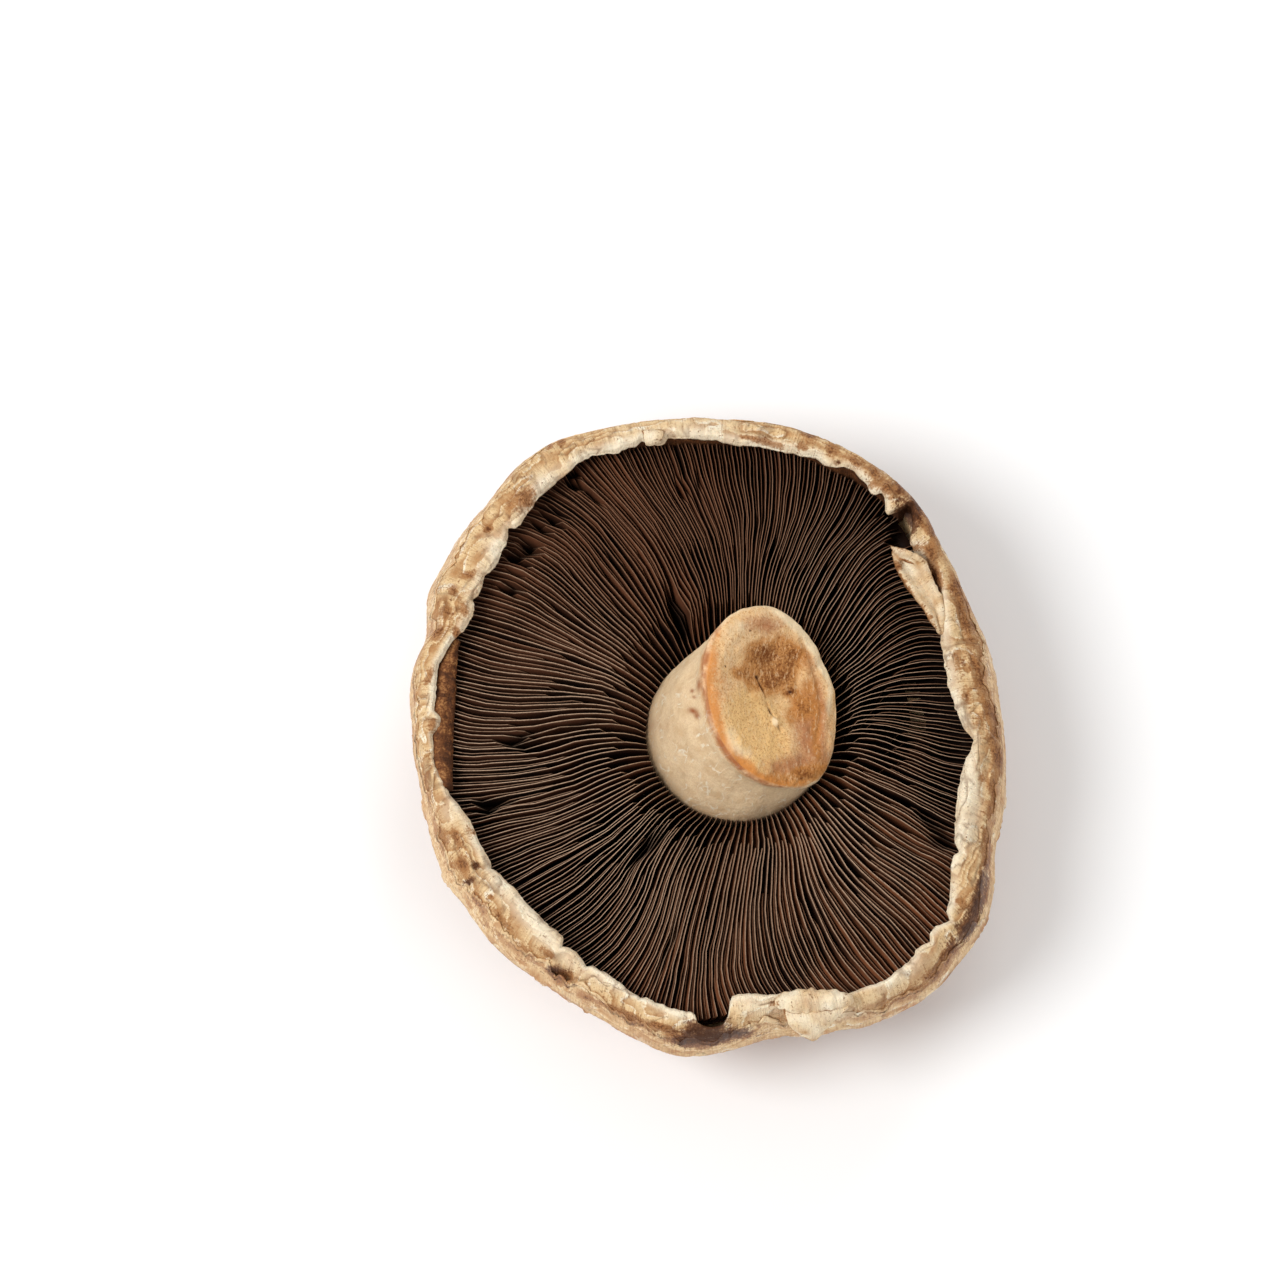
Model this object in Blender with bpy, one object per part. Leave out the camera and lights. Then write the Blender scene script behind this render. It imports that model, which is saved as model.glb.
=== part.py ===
"""A portobello mushroom as picked, lying on the crown of its cap with its gills up.

Three bodies, one for each part with a colour of its own: the cap (flesh, scaly skin and torn
rim), the gills (thin plates on one bed) and the stem with its slanting cut end.
The frame: +Z up, origin on the surface under the middle of the mushroom's box, angles
anticlockwise from +X as seen from above. Lengths are in millimetres until a mesh is made.
"""

import bisect
import math

import bmesh
import bpy
from mathutils import Vector, noise

MM = 0.001
TURN = 2 * math.pi

# The cap's outline, seen from above: its radius every 15 degrees
OUTLINE_RADII = [
    55.6, 55.1, 56.1, 58.4, 61.0, 62.2, 61.8, 62.8,
    64.0, 63.2, 59.9, 57.2, 55.8, 56.2, 57.0, 57.3,
    57.8, 60.4, 62.0, 61.2, 63.6, 64.3, 61.6, 57.6,
]  # fmt: skip
MEAN_RADIUS = 59.4

# The dome between its flat crown and its widest line
REST_SPOT_RADIUS = 17.0  # the crown is flat out to here
REST_SPOT_SHARE = 0.27  # and leaves the surface at this share of the outline
WIDEST_HEIGHT = 24.0
SHOULDER = (2.3, 0.6)  # the two powers that shape the dome
SECTION_STEPS = 400  # how finely the dome's section is measured

# The shingled scales: rows of torn upper edges, each a small step up from the skin above it
FIRST_SCALE_ROW = 16.0  # along the section from the flat crown
SCALE_ROW_PITCH = 4.8
SCALE_ROWS = 8
SCALE_STEP_LENGTH = 0.5
SCALE_RELIEF = 0.95
SCALE_LIFTS = (0.1, 0.8, 1.0, 0.7)  # across one scale, column by column
SCALE_CRESCENT = (1.2, 0.2, -0.4, 0.2)  # how far outwards its edge lies in each column
SCALE_WANDER = 1.6  # how unevenly the rows run
FIRST_ROW_FADE = 0.25  # the first row's share of the full relief
NORMAL_REACH = 0.2  # either side of a point, for the direction that is square to the skin
CAP_COLUMNS = 132  # a multiple of the columns of a scale

# The pale torn rim, as (degrees, width in from the outline): wide flaps, notches and two gaps
RIM_WIDTHS = [
    (0, 8.0), (15, 9.2), (24, 9.4), (30, 10.4), (42, 10.0), (45, 4.6), (51, 4.4), (54, 6.6),
    (66, 6.2), (75, 7.4), (90, 6.6), (99, 7.4), (105, 7.6), (120, 8.2), (135, 10.4), (150, 9.6),
    (165, 7.8), (180, 7.2), (192, 5.2), (204, 7.4), (225, 7.8), (240, 5.8), (255, 5.4),
    (264, 4.8), (267, 3.4), (273, 3.4), (276, 7.2), (288, 6.2), (297, 5.2), (303, 4.6),
    (315, 5.4), (321, 4.8), (330, 8.4), (345, 8.8),
]  # fmt: skip
RIM_HEIGHT = 36.6
RIM_SWELL, RIM_SWELL_WAVES = 1.1, 2.2  # how far its height wanders, and how often
RIM_RAGGED, RIM_RAGGED_WAVES = 0.5, 11.0  # the same for the torn edge, in and out
RIM_BURNT_WIDTH, RIM_BURNT_DROP = 5.5, 2.6  # a rim narrower than this is burnt down by up to that
RIM_FOOT = (0.08, 3.4)  # its own row of scales: share of the width in, height above the widest line
RIM_SECTION = [(0.24, 3.6), (0.50, 0.6), (0.78, -0.3), (1.0, 0.6)]  # share of the width in, drop
RIM_UNDERSIDE = (0.3, 2.2)  # how far the torn edge's lower corner lies outwards and down
RIM_GROOVES = [(26, 43, 1.5), (157, 192, 1.4), (204, 262, 1.9), (299, 319, 1.1)]  # from, to, depth
RIM_GROOVE_SHOULDER = 0.4  # the groove's depth at the ring outside it
RIM_LIP = 0.6  # how far the torn edge hangs past the rim's wall
MOST_RIM_WALL, LEAST_RIM_WALL = 6.0, 2.9
RIM_WALL_STEP = math.radians(4)  # the wall is evened out over four of these each way
RIM_WALL_HEIGHT = 34.2

# The flesh inside the cap, which the stem and the gills stand on
FLESH_HEIGHT = 19.0
FLESH_RISE = 8.5  # from there up to the foot of the rim
FLESH_STATIONS = [0.0, 0.4, 0.66, 0.86, 1.0]

# The stem: its foot among the gills, its lean, and the slanting cut that ends it
STEM_CENTRE = (5.2, 0.4)
STEM_RADIUS = 17.2
STEM_TIPPING = 1.5  # the power that keeps its foot upright and its top leaning
STEM_LEAN = (6.2, 0.9)  # how far the cut end's middle stands from over the foot's
CUT_HEIGHT = 44.0
CUT_TILT = math.radians(43)
CUT_FACES = math.radians(-6)  # the direction the cut slopes down in
STEM_COLUMNS = 40
STEM_FLANK = [
    (0.0, 17.6), (0.15, 17.2), (0.3, 16.8), (0.5, 16.3), (0.7, 15.8), (0.86, 15.7),
    (0.95, 16.5), (1.0, 16.7),
]  # fmt: skip  (share of the way up, radius)
STEM_END = [(15.8, 0.9), (13.0, 1.0), (9.0, 0.0), (4.5, -1.1)]  # radius, height over the cut
STEM_OVAL, STEM_OVAL_TURN = 0.035, 0.9
STEM_LOBES = 0.02

# The gills: long ones from the stem, short ones between them from half way out
LONG_GILLS = 72
GILL_EDGE_HEIGHT = 32.8
GILL_DIVE, GILL_DIVE_SHARE, GILL_DIVE_POWER = 7.6, 0.3, 2.2  # how the edges drop beside the stem
GILL_EASE, GILL_EASE_SHARE = 0.9, 0.55  # and how little they do towards the rim
GILL_WAVE = 0.35
GILL_SWEEPS = [(0.08, 2, 0.6, 1), (0.03, 5, 2.0, 2)]  # radians, waves round, phase, half waves along
SHORT_GILLS_LOWER, SHORT_GILLS_START = 0.5, 0.6  # below the long ones' edges, above the bed
GILL_THICKNESS = 0.7
GILL_ROOT_SPREAD = 0.14  # each side of a blade, at its root
GILL_BED = 1.3  # the layer that the blades grow from
GILL_MOAT = 1.1  # the free ring between the stem and the gills
INNER_STATIONS = [0.0, 0.07, 0.17, 0.32]
OUTER_STATIONS = [0.50, 0.64, 0.82, 1.0]

GAP = 0.3  # between faces that touch
GILL_END_GAP = 0.45  # between the gills' ends and the rim's wall


def round_the_outline(values, angle):
    """Evenly spaced values round the turn, joined by a smooth closed curve."""
    place = (angle % TURN) / TURN * len(values)
    first = int(place)
    t = place - first
    before, here, after, next_after = (values[(first + k) % len(values)] for k in (-1, 0, 1, 2))
    return here + 0.5 * t * (
        after - before
        + t * (2 * before - 5 * here + 4 * after - next_after
               + t * (3 * (here - after) + next_after - before))
    )  # fmt: skip


def outline(angle):
    return round_the_outline(OUTLINE_RADII, angle)


def polar(radius, angle, height, centre=(0.0, 0.0)):
    return Vector((centre[0] + radius * math.cos(angle), centre[1] + radius * math.sin(angle), height))


def dome_height(share):
    """The cap's outside, from its flat crown to its widest line at share 1."""
    climb = max(0.0, (share - REST_SPOT_SHARE) / (1 - REST_SPOT_SHARE))
    power, root = SHOULDER
    return WIDEST_HEIGHT * (1 - (1 - min(climb, 1.0) ** power) ** root)


def measure_section():
    """Pairs of lists: distances along the dome's section, and the share of the outline reached there."""
    shares = [REST_SPOT_SHARE + (1 - REST_SPOT_SHARE) * k / SECTION_STEPS for k in range(SECTION_STEPS + 1)]
    distances = [0.0]
    for near, far in zip(shares, shares[1:]):
        step = math.hypot((far - near) * MEAN_RADIUS, dome_height(far) - dome_height(near))
        distances.append(distances[-1] + step)
    return distances, shares


def share_along(distance, section):
    distances, shares = section
    k = min(bisect.bisect_right(distances, distance), len(distances) - 1)
    near, far = distances[k - 1], distances[k]
    t = min(1.0, max(0.0, (distance - near) / (far - near)))
    return shares[k - 1] + (shares[k] - shares[k - 1]) * t


def dome_point(distance, angle, out, section):
    """A point this far along the section, raised outwards from the skin by `out`."""
    share = share_along(distance, section)
    ahead = share_along(distance + NORMAL_REACH, section)
    behind = share_along(distance - NORMAL_REACH, section)
    run = (ahead - behind) * MEAN_RADIUS
    rise = dome_height(ahead) - dome_height(behind)
    length = math.hypot(run, rise)
    radius = outline(angle) * share + out * rise / length
    return polar(radius, angle, dome_height(share) - out * run / length)


def scale_lift(row, column):
    """How high a row's torn edges stand in one column: brick-laid, uneven, fading in from the crown."""
    half_a_scale = len(SCALE_LIFTS) // 2
    scale, across = divmod(column + half_a_scale * (row % 2), len(SCALE_LIFTS))
    fade = min(1.0, FIRST_ROW_FADE + row / (SCALE_ROWS - 3))
    uneven = 0.8 + 0.6 * noise.noise(Vector((scale * 0.9, row * 1.7, 3.0)))
    wander = SCALE_WANDER * noise.noise(Vector((column * 0.31, row * 2.3, 7.0)))
    return SCALE_RELIEF * fade * uneven * SCALE_LIFTS[across], SCALE_CRESCENT[across] + wander


def dome_rings(angles):
    """The cap's outside from the flat crown to the widest line, two rings to a row of scales."""
    section = measure_section()
    rings = [[polar(REST_SPOT_RADIUS, angle, 0.0) for angle in angles]]
    for distance in (FIRST_SCALE_ROW / 3, FIRST_SCALE_ROW * 2 / 3):
        rings.append([dome_point(distance, angle, 0.0, section) for angle in angles])
    for row in range(SCALE_ROWS):
        start = FIRST_SCALE_ROW + row * SCALE_ROW_PITCH
        above, edge = [], []
        for column, angle in enumerate(angles):
            lift, outwards = scale_lift(row, column)
            above.append(dome_point(start + outwards, angle, 0.0, section))
            edge.append(dome_point(start + outwards + SCALE_STEP_LENGTH, angle, lift, section))
        rings += [above, edge]
    return rings


def rim_width(angle):
    """Straight steps between the rim's torn corners."""
    degrees = math.degrees(angle) % 360
    corners = [*RIM_WIDTHS, (360, RIM_WIDTHS[0][1])]
    for (start, width), (end, next_width) in zip(corners, corners[1:]):
        if start <= degrees <= end:
            return width + (next_width - width) * (degrees - start) / (end - start)


def rim_wall(angle):
    """How far in the rim's solid wall reaches, evened out; the torn edge hangs past it."""
    nearby = [rim_width(angle + RIM_WALL_STEP * k) - RIM_LIP for k in range(-4, 5)]
    return sum(max(LEAST_RIM_WALL, min(MOST_RIM_WALL, width)) for width in nearby) / len(nearby)


def rim_groove(angle):
    """The depth of the fold between the rim's two torn layers."""
    degrees = math.degrees(angle) % 360
    for first, last, depth in RIM_GROOVES:
        if first < degrees < last:
            return depth * math.sin(math.pi * (degrees - first) / (last - first)) ** 0.5
    return 0.0


def rim_points(column, angle):
    """The rim's section in one column, from the widest line up, over the torn edge and down inside."""
    ragged = RIM_RAGGED * noise.noise(polar(RIM_RAGGED_WAVES, angle, 5.0))
    radius, width, wall = outline(angle), rim_width(angle) + ragged, rim_wall(angle)
    burnt = RIM_BURNT_DROP * max(0.0, 1 - width / RIM_BURNT_WIDTH)
    swell = RIM_SWELL * noise.noise(polar(RIM_SWELL_WAVES, angle, 1.0))
    top = RIM_HEIGHT + swell + ragged / 2 - burnt
    drops = [drop for _, drop in RIM_SECTION]
    drops[1] += rim_groove(angle) * RIM_GROOVE_SHOULDER
    drops[2] += rim_groove(angle)
    share, height = RIM_FOOT
    lift, upwards = scale_lift(SCALE_ROWS, column)
    foot = WIDEST_HEIGHT + height + upwards
    points = [
        polar(radius - share * width, angle, foot),
        polar(radius - share * width + lift, angle, foot + SCALE_STEP_LENGTH),
    ]
    points += [polar(radius - s * width, angle, top - drop) for (s, _), drop in zip(RIM_SECTION, drops)]
    back, down = RIM_UNDERSIDE
    points.append(polar(radius - width + back, angle, top - down))
    points.append(polar(radius - wall, angle, min(top - down, RIM_WALL_HEIGHT)))
    return points


def spread(share, angle, clear=0.0):
    """A point between the stem's foot (0) and the rim's wall (1), on straight spokes."""
    near = polar(STEM_RADIUS + GILL_MOAT, angle, 0.0, STEM_CENTRE)
    far = polar(outline(angle) - rim_wall(angle) - clear, angle, 0.0)
    return near.lerp(far, share)


def flesh_height(share):
    """The inside of the cap, which the gills grow on."""
    return FLESH_HEIGHT + FLESH_RISE * share**3


def gill_edge_height(share):
    """The gills' free edges: level, with a dive beside the stem and an ease at the rim."""
    dive = max(0.0, 1 - share / GILL_DIVE_SHARE) ** GILL_DIVE_POWER
    ease = max(0.0, (share - GILL_EASE_SHARE) / (1 - GILL_EASE_SHARE)) ** 2
    return GILL_EDGE_HEIGHT - GILL_DIVE * dive - GILL_EASE * ease


def gill_bend(share, angle):
    """The turn, in radians, that sweeps the gills into long S curves."""
    return sum(
        amount * math.sin(waves * angle + phase) * math.sin(math.pi * halves * share)
        for amount, waves, phase, halves in GILL_SWEEPS
    )


def bridge(mesh, lower, upper):
    """Quads between two rings with the same number of points, seen from outside."""
    for k in range(len(lower)):
        n = (k + 1) % len(lower)
        mesh.faces.new((lower[k], lower[n], upper[n], upper[k]))


def ring(mesh, points):
    return [mesh.verts.new(point * MM) for point in points]


def add_object(mesh, name, colour, roughness, sharp_degrees):
    """Turns the finished bmesh into a named object with its own material."""
    bmesh.ops.triangulate(mesh, faces=[face for face in mesh.faces if len(face.verts) > 4])
    data = bpy.data.meshes.new(name)
    mesh.to_mesh(data)
    mesh.free()
    data.shade_smooth()
    data.set_sharp_from_angle(angle=math.radians(sharp_degrees))
    material = bpy.data.materials.new(name)
    material.use_nodes = True
    surface = material.node_tree.nodes["Principled BSDF"]
    surface.inputs["Base Color"].default_value = (*colour, 1.0)
    surface.inputs["Roughness"].default_value = roughness
    surface.inputs["Metallic"].default_value = 0.0
    data.materials.append(material)
    made = bpy.data.objects.new(name, data)
    bpy.context.scene.collection.objects.link(made)
    return made


def make_cap():
    """Crown, scaly dome, torn rim and the hollow that holds the gills, as one lathe-like skin."""
    mesh = bmesh.new()
    angles = [TURN * k / CAP_COLUMNS for k in range(CAP_COLUMNS)]
    rings = [ring(mesh, points) for points in dome_rings(angles)]
    rings += [ring(mesh, level) for level in zip(*map(rim_points, range(CAP_COLUMNS), angles))]
    for share in reversed(FLESH_STATIONS):
        points = [spread(share, angle) for angle in angles]
        rings.append(ring(mesh, [Vector((p.x, p.y, flesh_height(share))) for p in points]))
    for lower, upper in zip(rings, rings[1:]):
        bridge(mesh, lower, upper)
    mesh.faces.new(list(reversed(rings[0])))
    mesh.faces.new(rings[-1])
    return add_object(mesh, "cap", (0.62, 0.40, 0.22), 0.75, 35)


def blade_point(share, angle, offset, height):
    """A point of the gill bed, offset sideways in millimetres from a gill's own middle line."""
    bent = angle + gill_bend(share, angle)
    middle = spread(share, bent, GILL_END_GAP)
    along = spread(1.0, bent, GILL_END_GAP) - spread(0.0, bent, GILL_END_GAP)
    sideways = Vector((-along.y, along.x, 0.0)).normalized()
    return Vector((middle.x, middle.y, height)) + sideways * offset


def gill_points(share, angle, edge):
    """One blade's section: root, tip, tip, root."""
    floor = flesh_height(share) + GAP + GILL_BED
    half = GILL_THICKNESS / 2
    return [
        blade_point(share, angle, -half - GILL_ROOT_SPREAD, floor),
        blade_point(share, angle, -half, edge),
        blade_point(share, angle, half, edge),
        blade_point(share, angle, half + GILL_ROOT_SPREAD, floor),
    ]


def gill_stations():
    """Rings of points over the bed; the short gills' points join in at the outer stations."""
    pitch = TURN / LONG_GILLS
    stations = []
    for share in [*INNER_STATIONS, *OUTER_STATIONS]:
        edge = gill_edge_height(share)
        points = []
        for gill in range(LONG_GILLS):
            angle = gill * pitch
            wave = GILL_WAVE * noise.noise(Vector((gill * 0.37, share * 3.0, 0.0)))
            points += gill_points(share, angle, edge + wave)
            if share in OUTER_STATIONS:
                height = edge - SHORT_GILLS_LOWER
                if share == OUTER_STATIONS[0]:
                    height = flesh_height(share) + GAP + GILL_BED + SHORT_GILLS_START
                points += gill_points(share, angle + pitch / 2, height)
        stations.append(points)
    return stations


def join_stations(mesh, near, far):
    """The upper side between two stations; where short gills start, a groove's face gains points."""
    if len(near) == len(far):
        bridge(mesh, far, near)
        return
    for gill in range(LONG_GILLS):
        a, b = 4 * gill, 8 * gill
        for k in range(3):
            mesh.faces.new((near[a + k + 1], near[a + k], far[b + k], far[b + k + 1]))
        groove = [far[(b + k) % len(far)] for k in range(3, 9)]
        mesh.faces.new([near[(a + 4) % len(near)], near[a + 3], *groove])


def make_gills():
    """The blades, raised from one bed that lies in the cap's hollow."""
    mesh = bmesh.new()
    tops = [ring(mesh, points) for points in gill_stations()]
    for near, far in zip(tops, tops[1:]):
        join_stations(mesh, near, far)
    beds = []
    for share in FLESH_STATIONS:
        points = [spread(share, TURN * k / LONG_GILLS, GILL_END_GAP) for k in range(LONG_GILLS)]
        beds.append(ring(mesh, [Vector((p.x, p.y, flesh_height(share) + GAP)) for p in points]))
    for near, far in zip(beds, beds[1:]):
        bridge(mesh, near, far)
    inner, outer = tops[0], tops[-1]
    for gill in range(LONG_GILLS):
        n = (gill + 1) % LONG_GILLS
        face = [inner[(4 * gill + k) % len(inner)] for k in range(5)]
        mesh.faces.new([beds[0][n], beds[0][gill], *face])
        face = [outer[(8 * gill + k) % len(outer)] for k in range(8, -1, -1)]
        mesh.faces.new([beds[-1][gill], beds[-1][n], *face])
    return add_object(mesh, "gills", (0.11, 0.06, 0.04), 0.8, 30)


def stem_ring(share, radius, lift=0.0):
    """A ring round the stem, tipping over from the level foot (0) to the slanting cut (1)."""
    tipped = share**STEM_TIPPING
    tilt = CUT_TILT * tipped
    foot = FLESH_HEIGHT + GAP
    centre = Vector((
        STEM_CENTRE[0] + STEM_LEAN[0] * tipped,
        STEM_CENTRE[1] + STEM_LEAN[1] * tipped,
        foot + (CUT_HEIGHT - foot) * share,
    ))  # fmt: skip
    slope = Vector((math.cos(CUT_FACES), math.sin(CUT_FACES), 0.0))
    down = slope * math.cos(tilt) - Vector((0, 0, math.sin(tilt)))
    across = Vector((-slope.y, slope.x, 0.0))
    normal = down.cross(across)
    points = []
    for k in range(STEM_COLUMNS):
        angle = TURN * k / STEM_COLUMNS
        oval = STEM_OVAL * share * math.sin(2 * angle + STEM_OVAL_TURN)
        r = radius * (1 + oval + STEM_LOBES * math.sin(3 * angle))
        points.append(centre + down * r * math.cos(angle) + across * r * math.sin(angle) + normal * lift)
    return points


def make_stem():
    """A short thick stem with a narrowed neck, a rolled edge and a sunken slanting end."""
    mesh = bmesh.new()
    rings = [ring(mesh, stem_ring(share, radius)) for share, radius in STEM_FLANK]
    rings += [ring(mesh, stem_ring(1.0, radius, lift)) for radius, lift in STEM_END]
    for lower, upper in zip(rings, rings[1:]):
        bridge(mesh, lower, upper)
    mesh.faces.new(list(reversed(rings[0])))
    mesh.faces.new(rings[-1])
    return add_object(mesh, "stem", (0.80, 0.66, 0.47), 0.6, 50)


def main():
    for old in list(bpy.data.objects):
        bpy.data.objects.remove(old)
    make_cap()
    make_gills()
    make_stem()


main()
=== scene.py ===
import itertools
import math

import bpy
import numpy as np
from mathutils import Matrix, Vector, noise


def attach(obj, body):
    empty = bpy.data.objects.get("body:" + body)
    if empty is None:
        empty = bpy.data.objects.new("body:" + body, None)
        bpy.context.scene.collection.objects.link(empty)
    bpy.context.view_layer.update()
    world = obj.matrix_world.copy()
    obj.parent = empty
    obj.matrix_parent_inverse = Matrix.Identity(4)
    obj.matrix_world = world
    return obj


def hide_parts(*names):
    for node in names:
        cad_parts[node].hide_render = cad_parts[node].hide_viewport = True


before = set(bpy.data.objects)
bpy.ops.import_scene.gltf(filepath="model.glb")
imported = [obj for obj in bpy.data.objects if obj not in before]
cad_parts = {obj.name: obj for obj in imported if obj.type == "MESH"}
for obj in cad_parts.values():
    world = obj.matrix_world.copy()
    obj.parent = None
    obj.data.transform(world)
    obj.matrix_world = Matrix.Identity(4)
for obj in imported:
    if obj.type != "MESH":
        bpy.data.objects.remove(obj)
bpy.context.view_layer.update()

# A portobello mushroom lying on its crown. Lengths are millimetres until a mesh is made,
# angles run anticlockwise from +X as seen from above.

scene = bpy.context.scene
mm = 0.001
turn = 2 * math.pi

# camera

shot = {
    "aim": (-12.9, 15.4, 35.5),
    "elevation": 73.0,  # degrees above the table, looking along +Y
    "distance": 1000.0,
    "lens": 150.6,
    "sensor": 36.0,
    "picture": 1280,
    "clip": (0.05, 20.0),  # metres
}
rise = math.radians(shot["elevation"])
cameraBack = np.array([0.0, -math.cos(rise), math.sin(rise)])
cameraUp = np.array([0.0, math.sin(rise), math.cos(rise)])
cameraRight = np.array([1.0, 0.0, 0.0])
cameraPlace = np.array(shot["aim"]) + cameraBack * shot["distance"]
pixelSlope = shot["sensor"] / shot["lens"] / shot["picture"]
pictureMiddle = shot["picture"] / 2


def newObject(name, data):
    made = bpy.data.objects.new(name, data)
    scene.collection.objects.link(made)
    return made


def makeCamera():
    data = bpy.data.cameras.new("camera")
    data.lens = shot["lens"]
    data.sensor_width = shot["sensor"]
    data.clip_start, data.clip_end = shot["clip"]
    scene.camera = newObject("camera", data)
    scene.camera.location = Vector(cameraPlace) * mm
    scene.camera.rotation_euler = Vector(cameraBack).to_track_quat("Z", "Y").to_euler()


def fromPicture(x, y, height):
    # where the line of sight through a picture point meets a level plane
    x, y, height = np.broadcast_arrays(*(np.asarray(v, float) for v in (x, y, height)))
    ray = (
        -cameraBack
        + cameraRight * ((x - pictureMiddle) * pixelSlope)[..., None]
        + cameraUp * ((pictureMiddle - y) * pixelSlope)[..., None]
    )
    reach = (height - cameraPlace[2]) / ray[..., 2]
    return cameraPlace + ray * reach[..., None]


def toPicture(points):
    away = points - cameraPlace
    depth = -(away @ cameraBack)
    right, up = away @ cameraRight / depth / pixelSlope, away @ cameraUp / depth / pixelSlope
    return pictureMiddle + right, pictureMiddle - up


# small tools for shapes

lattice = np.random.default_rng(11).uniform(-1, 1, (64, 64, 64))


def lumps(points, size, seed=0):
    # smooth noise between -1 and 1, in lumps of this size
    place = points / np.asarray(size, float) + np.array([3.7, 1.3, 7.9]) * (seed + 1)
    cell = np.floor(place).astype(int)
    t = place - cell
    t = t * t * (3 - 2 * t)
    total = np.zeros(place.shape[:-1])
    for corner in itertools.product((0, 1), repeat=3):
        weight = np.prod(np.where(corner, t, 1 - t), axis=-1)
        at = (cell + corner) % len(lattice)
        total += weight * lattice[at[..., 0], at[..., 1], at[..., 2]]
    return total


def lumpSum(points, waves, start=0):
    # several of them, each (height, lump size, seed)
    return sum((height * lumps(points, size, seed) for height, size, seed in waves), start)


def drifted(points, size, seed):
    # a noise of its own for each direction
    return np.stack([lumps(points, size, seed + k) for k in range(3)], axis=-1)


def ease(value, low, high):
    t = np.clip((value - low) / (high - low), 0, 1)
    return t * t * (3 - 2 * t)


def bend(a, b, c, d, t):
    # one span of a Catmull-Rom curve
    return b + 0.5 * t * (c - a + t * (2 * a - 5 * b + 4 * c - d + t * (3 * (b - c) + d - a)))


def closedCurve(values, angles):
    values = np.asarray(values, float)
    place = np.mod(angles, turn) / turn * len(values)
    first = np.floor(place).astype(int)
    return bend(*(values[(first + k) % len(values)] for k in (-1, 0, 1, 2)), place - first)


def openCurve(points, count):
    points = np.asarray(points, float)
    place = np.linspace(0, len(points) - 1, count)
    first = np.minimum(place.astype(int), len(points) - 2)
    t = (place - first).reshape(-1, *[1] * (points.ndim - 1))
    padded = np.concatenate([2 * points[:1] - points[1:2], points, 2 * points[-1:] - points[-2:-1]])
    return bend(*(padded[first + k] for k in range(4)), t)


def roundTable(degrees, table):
    # read off pairs of degrees and values
    return np.interp(degrees, *zip(*table), period=360)


def evenOut(values, degrees):
    # a running mean round the turn
    reach = max(1, round(len(values) * degrees / 360))
    window = np.concatenate([values[-reach:], values, values[:reach]])
    return np.convolve(window, np.ones(2 * reach + 1) / (2 * reach + 1), "valid")


def polar(radius, angle, height):
    radius, angle, height = np.broadcast_arrays(radius, angle, height)
    return np.stack([radius * np.cos(angle), radius * np.sin(angle), height], axis=-1)


def flatLength(points):
    return np.hypot(points[..., 0], points[..., 1])


def ovals(points, marks):
    # Marks are ovals in the picture: x, y, length, width, turn in degrees, strength. For each one
    # this gives where the points lie along and across it, in its own sizes, its turn and its strength.
    x, y = toPicture(points)
    for px, py, long, wide, tilt, strength in marks:
        dx, dy, tilt = x - px, py - y, math.radians(tilt)
        c, s = math.cos(tilt), math.sin(tilt)
        yield (dx * c + dy * s) / long, (dy * c - dx * s) / wide, tilt, strength


def paint(points, marks):
    # soft oval marks over one another, 0 to 1
    left = 1.0
    for far, off, _, strength in ovals(points, marks):
        left = left * (1 - strength * np.exp(-(far**2 + off**2)))
    return 1 - left


def newPiece(name, points, faces, attributes, material):
    mesh = bpy.data.meshes.new(name)
    mesh.from_pydata((points.reshape(-1, 3) * mm).tolist(), [], faces)
    for label, values in attributes.items():
        values = np.asarray(values, np.float32).ravel()
        vector = values.size == 3 * len(mesh.vertices)
        layer = mesh.attributes.new(label, "FLOAT_VECTOR" if vector else "FLOAT", "POINT")
        layer.data.foreach_set("vector" if vector else "value", values)
    mesh.shade_smooth()
    if material:
        mesh.materials.append(material)
    return newObject(name, mesh)


def ringFaces(rows, columns, loop=False):
    index = np.arange(rows * columns).reshape(rows, columns)
    lower = index if loop else index[:-1]
    upper = np.roll(index, -1, axis=0) if loop else index[1:]
    quads = [lower, np.roll(lower, -1, axis=1), np.roll(upper, -1, axis=1), upper]
    return np.stack(quads, axis=-1).reshape(-1, 4).tolist()


def turnedPiece(name, points, attributes, material):
    # rows of points round an axis, closed by a point at each end
    rows, columns = points.shape[:2]
    faces = ringFaces(rows, columns)
    foot, tip = rows * columns, rows * columns + 1
    last = (rows - 1) * columns
    for k in range(columns):
        n = (k + 1) % columns
        faces += [(foot, n, k), (tip, last + k, last + n)]

    def withEnds(values):
        values = np.asarray(values, float)
        ends = [values[0].mean(axis=0), values[-1].mean(axis=0)]
        return np.concatenate([values.reshape(rows * columns, -1), np.reshape(ends, (2, -1))])

    attributes = {label: withEnds(values) for label, values in attributes.items()}
    return newPiece(name, withEnds(points), faces, attributes, material)


def slabPiece(name, top, bottom, attributes, material):
    # two grids of points joined by their borders
    rows, columns = top.shape[:2]
    count = rows * columns
    index = np.arange(count).reshape(rows, columns)
    quads = np.stack([index[:-1, :-1], index[:-1, 1:], index[1:, 1:], index[1:, :-1]], axis=-1).reshape(-1, 4)
    faces = quads.tolist() + (quads[:, ::-1] + count).tolist()
    border = np.concatenate([index[0, :-1], index[:-1, -1], index[-1, :0:-1], index[:0:-1, 0]]).tolist()
    faces += [(n, k, k + count, n + count) for k, n in zip(border, border[1:] + border[:1])]
    doubled = {label: np.concatenate([values, values]) for label, values in attributes.items()}
    return newPiece(name, np.concatenate([top, bottom]), faces, doubled, material)


# small tools for nodes; those that take sockets find the tree from the first one


def tint(red, green, blue):
    # a screen colour, 0 to 255, as the linear one that nodes take
    return (*(((c / 255 + 0.055) / 1.055) ** 2.4 for c in (red, green, blue)), 1.0)


def isSocket(value):
    return isinstance(value, bpy.types.NodeSocket)


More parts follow.
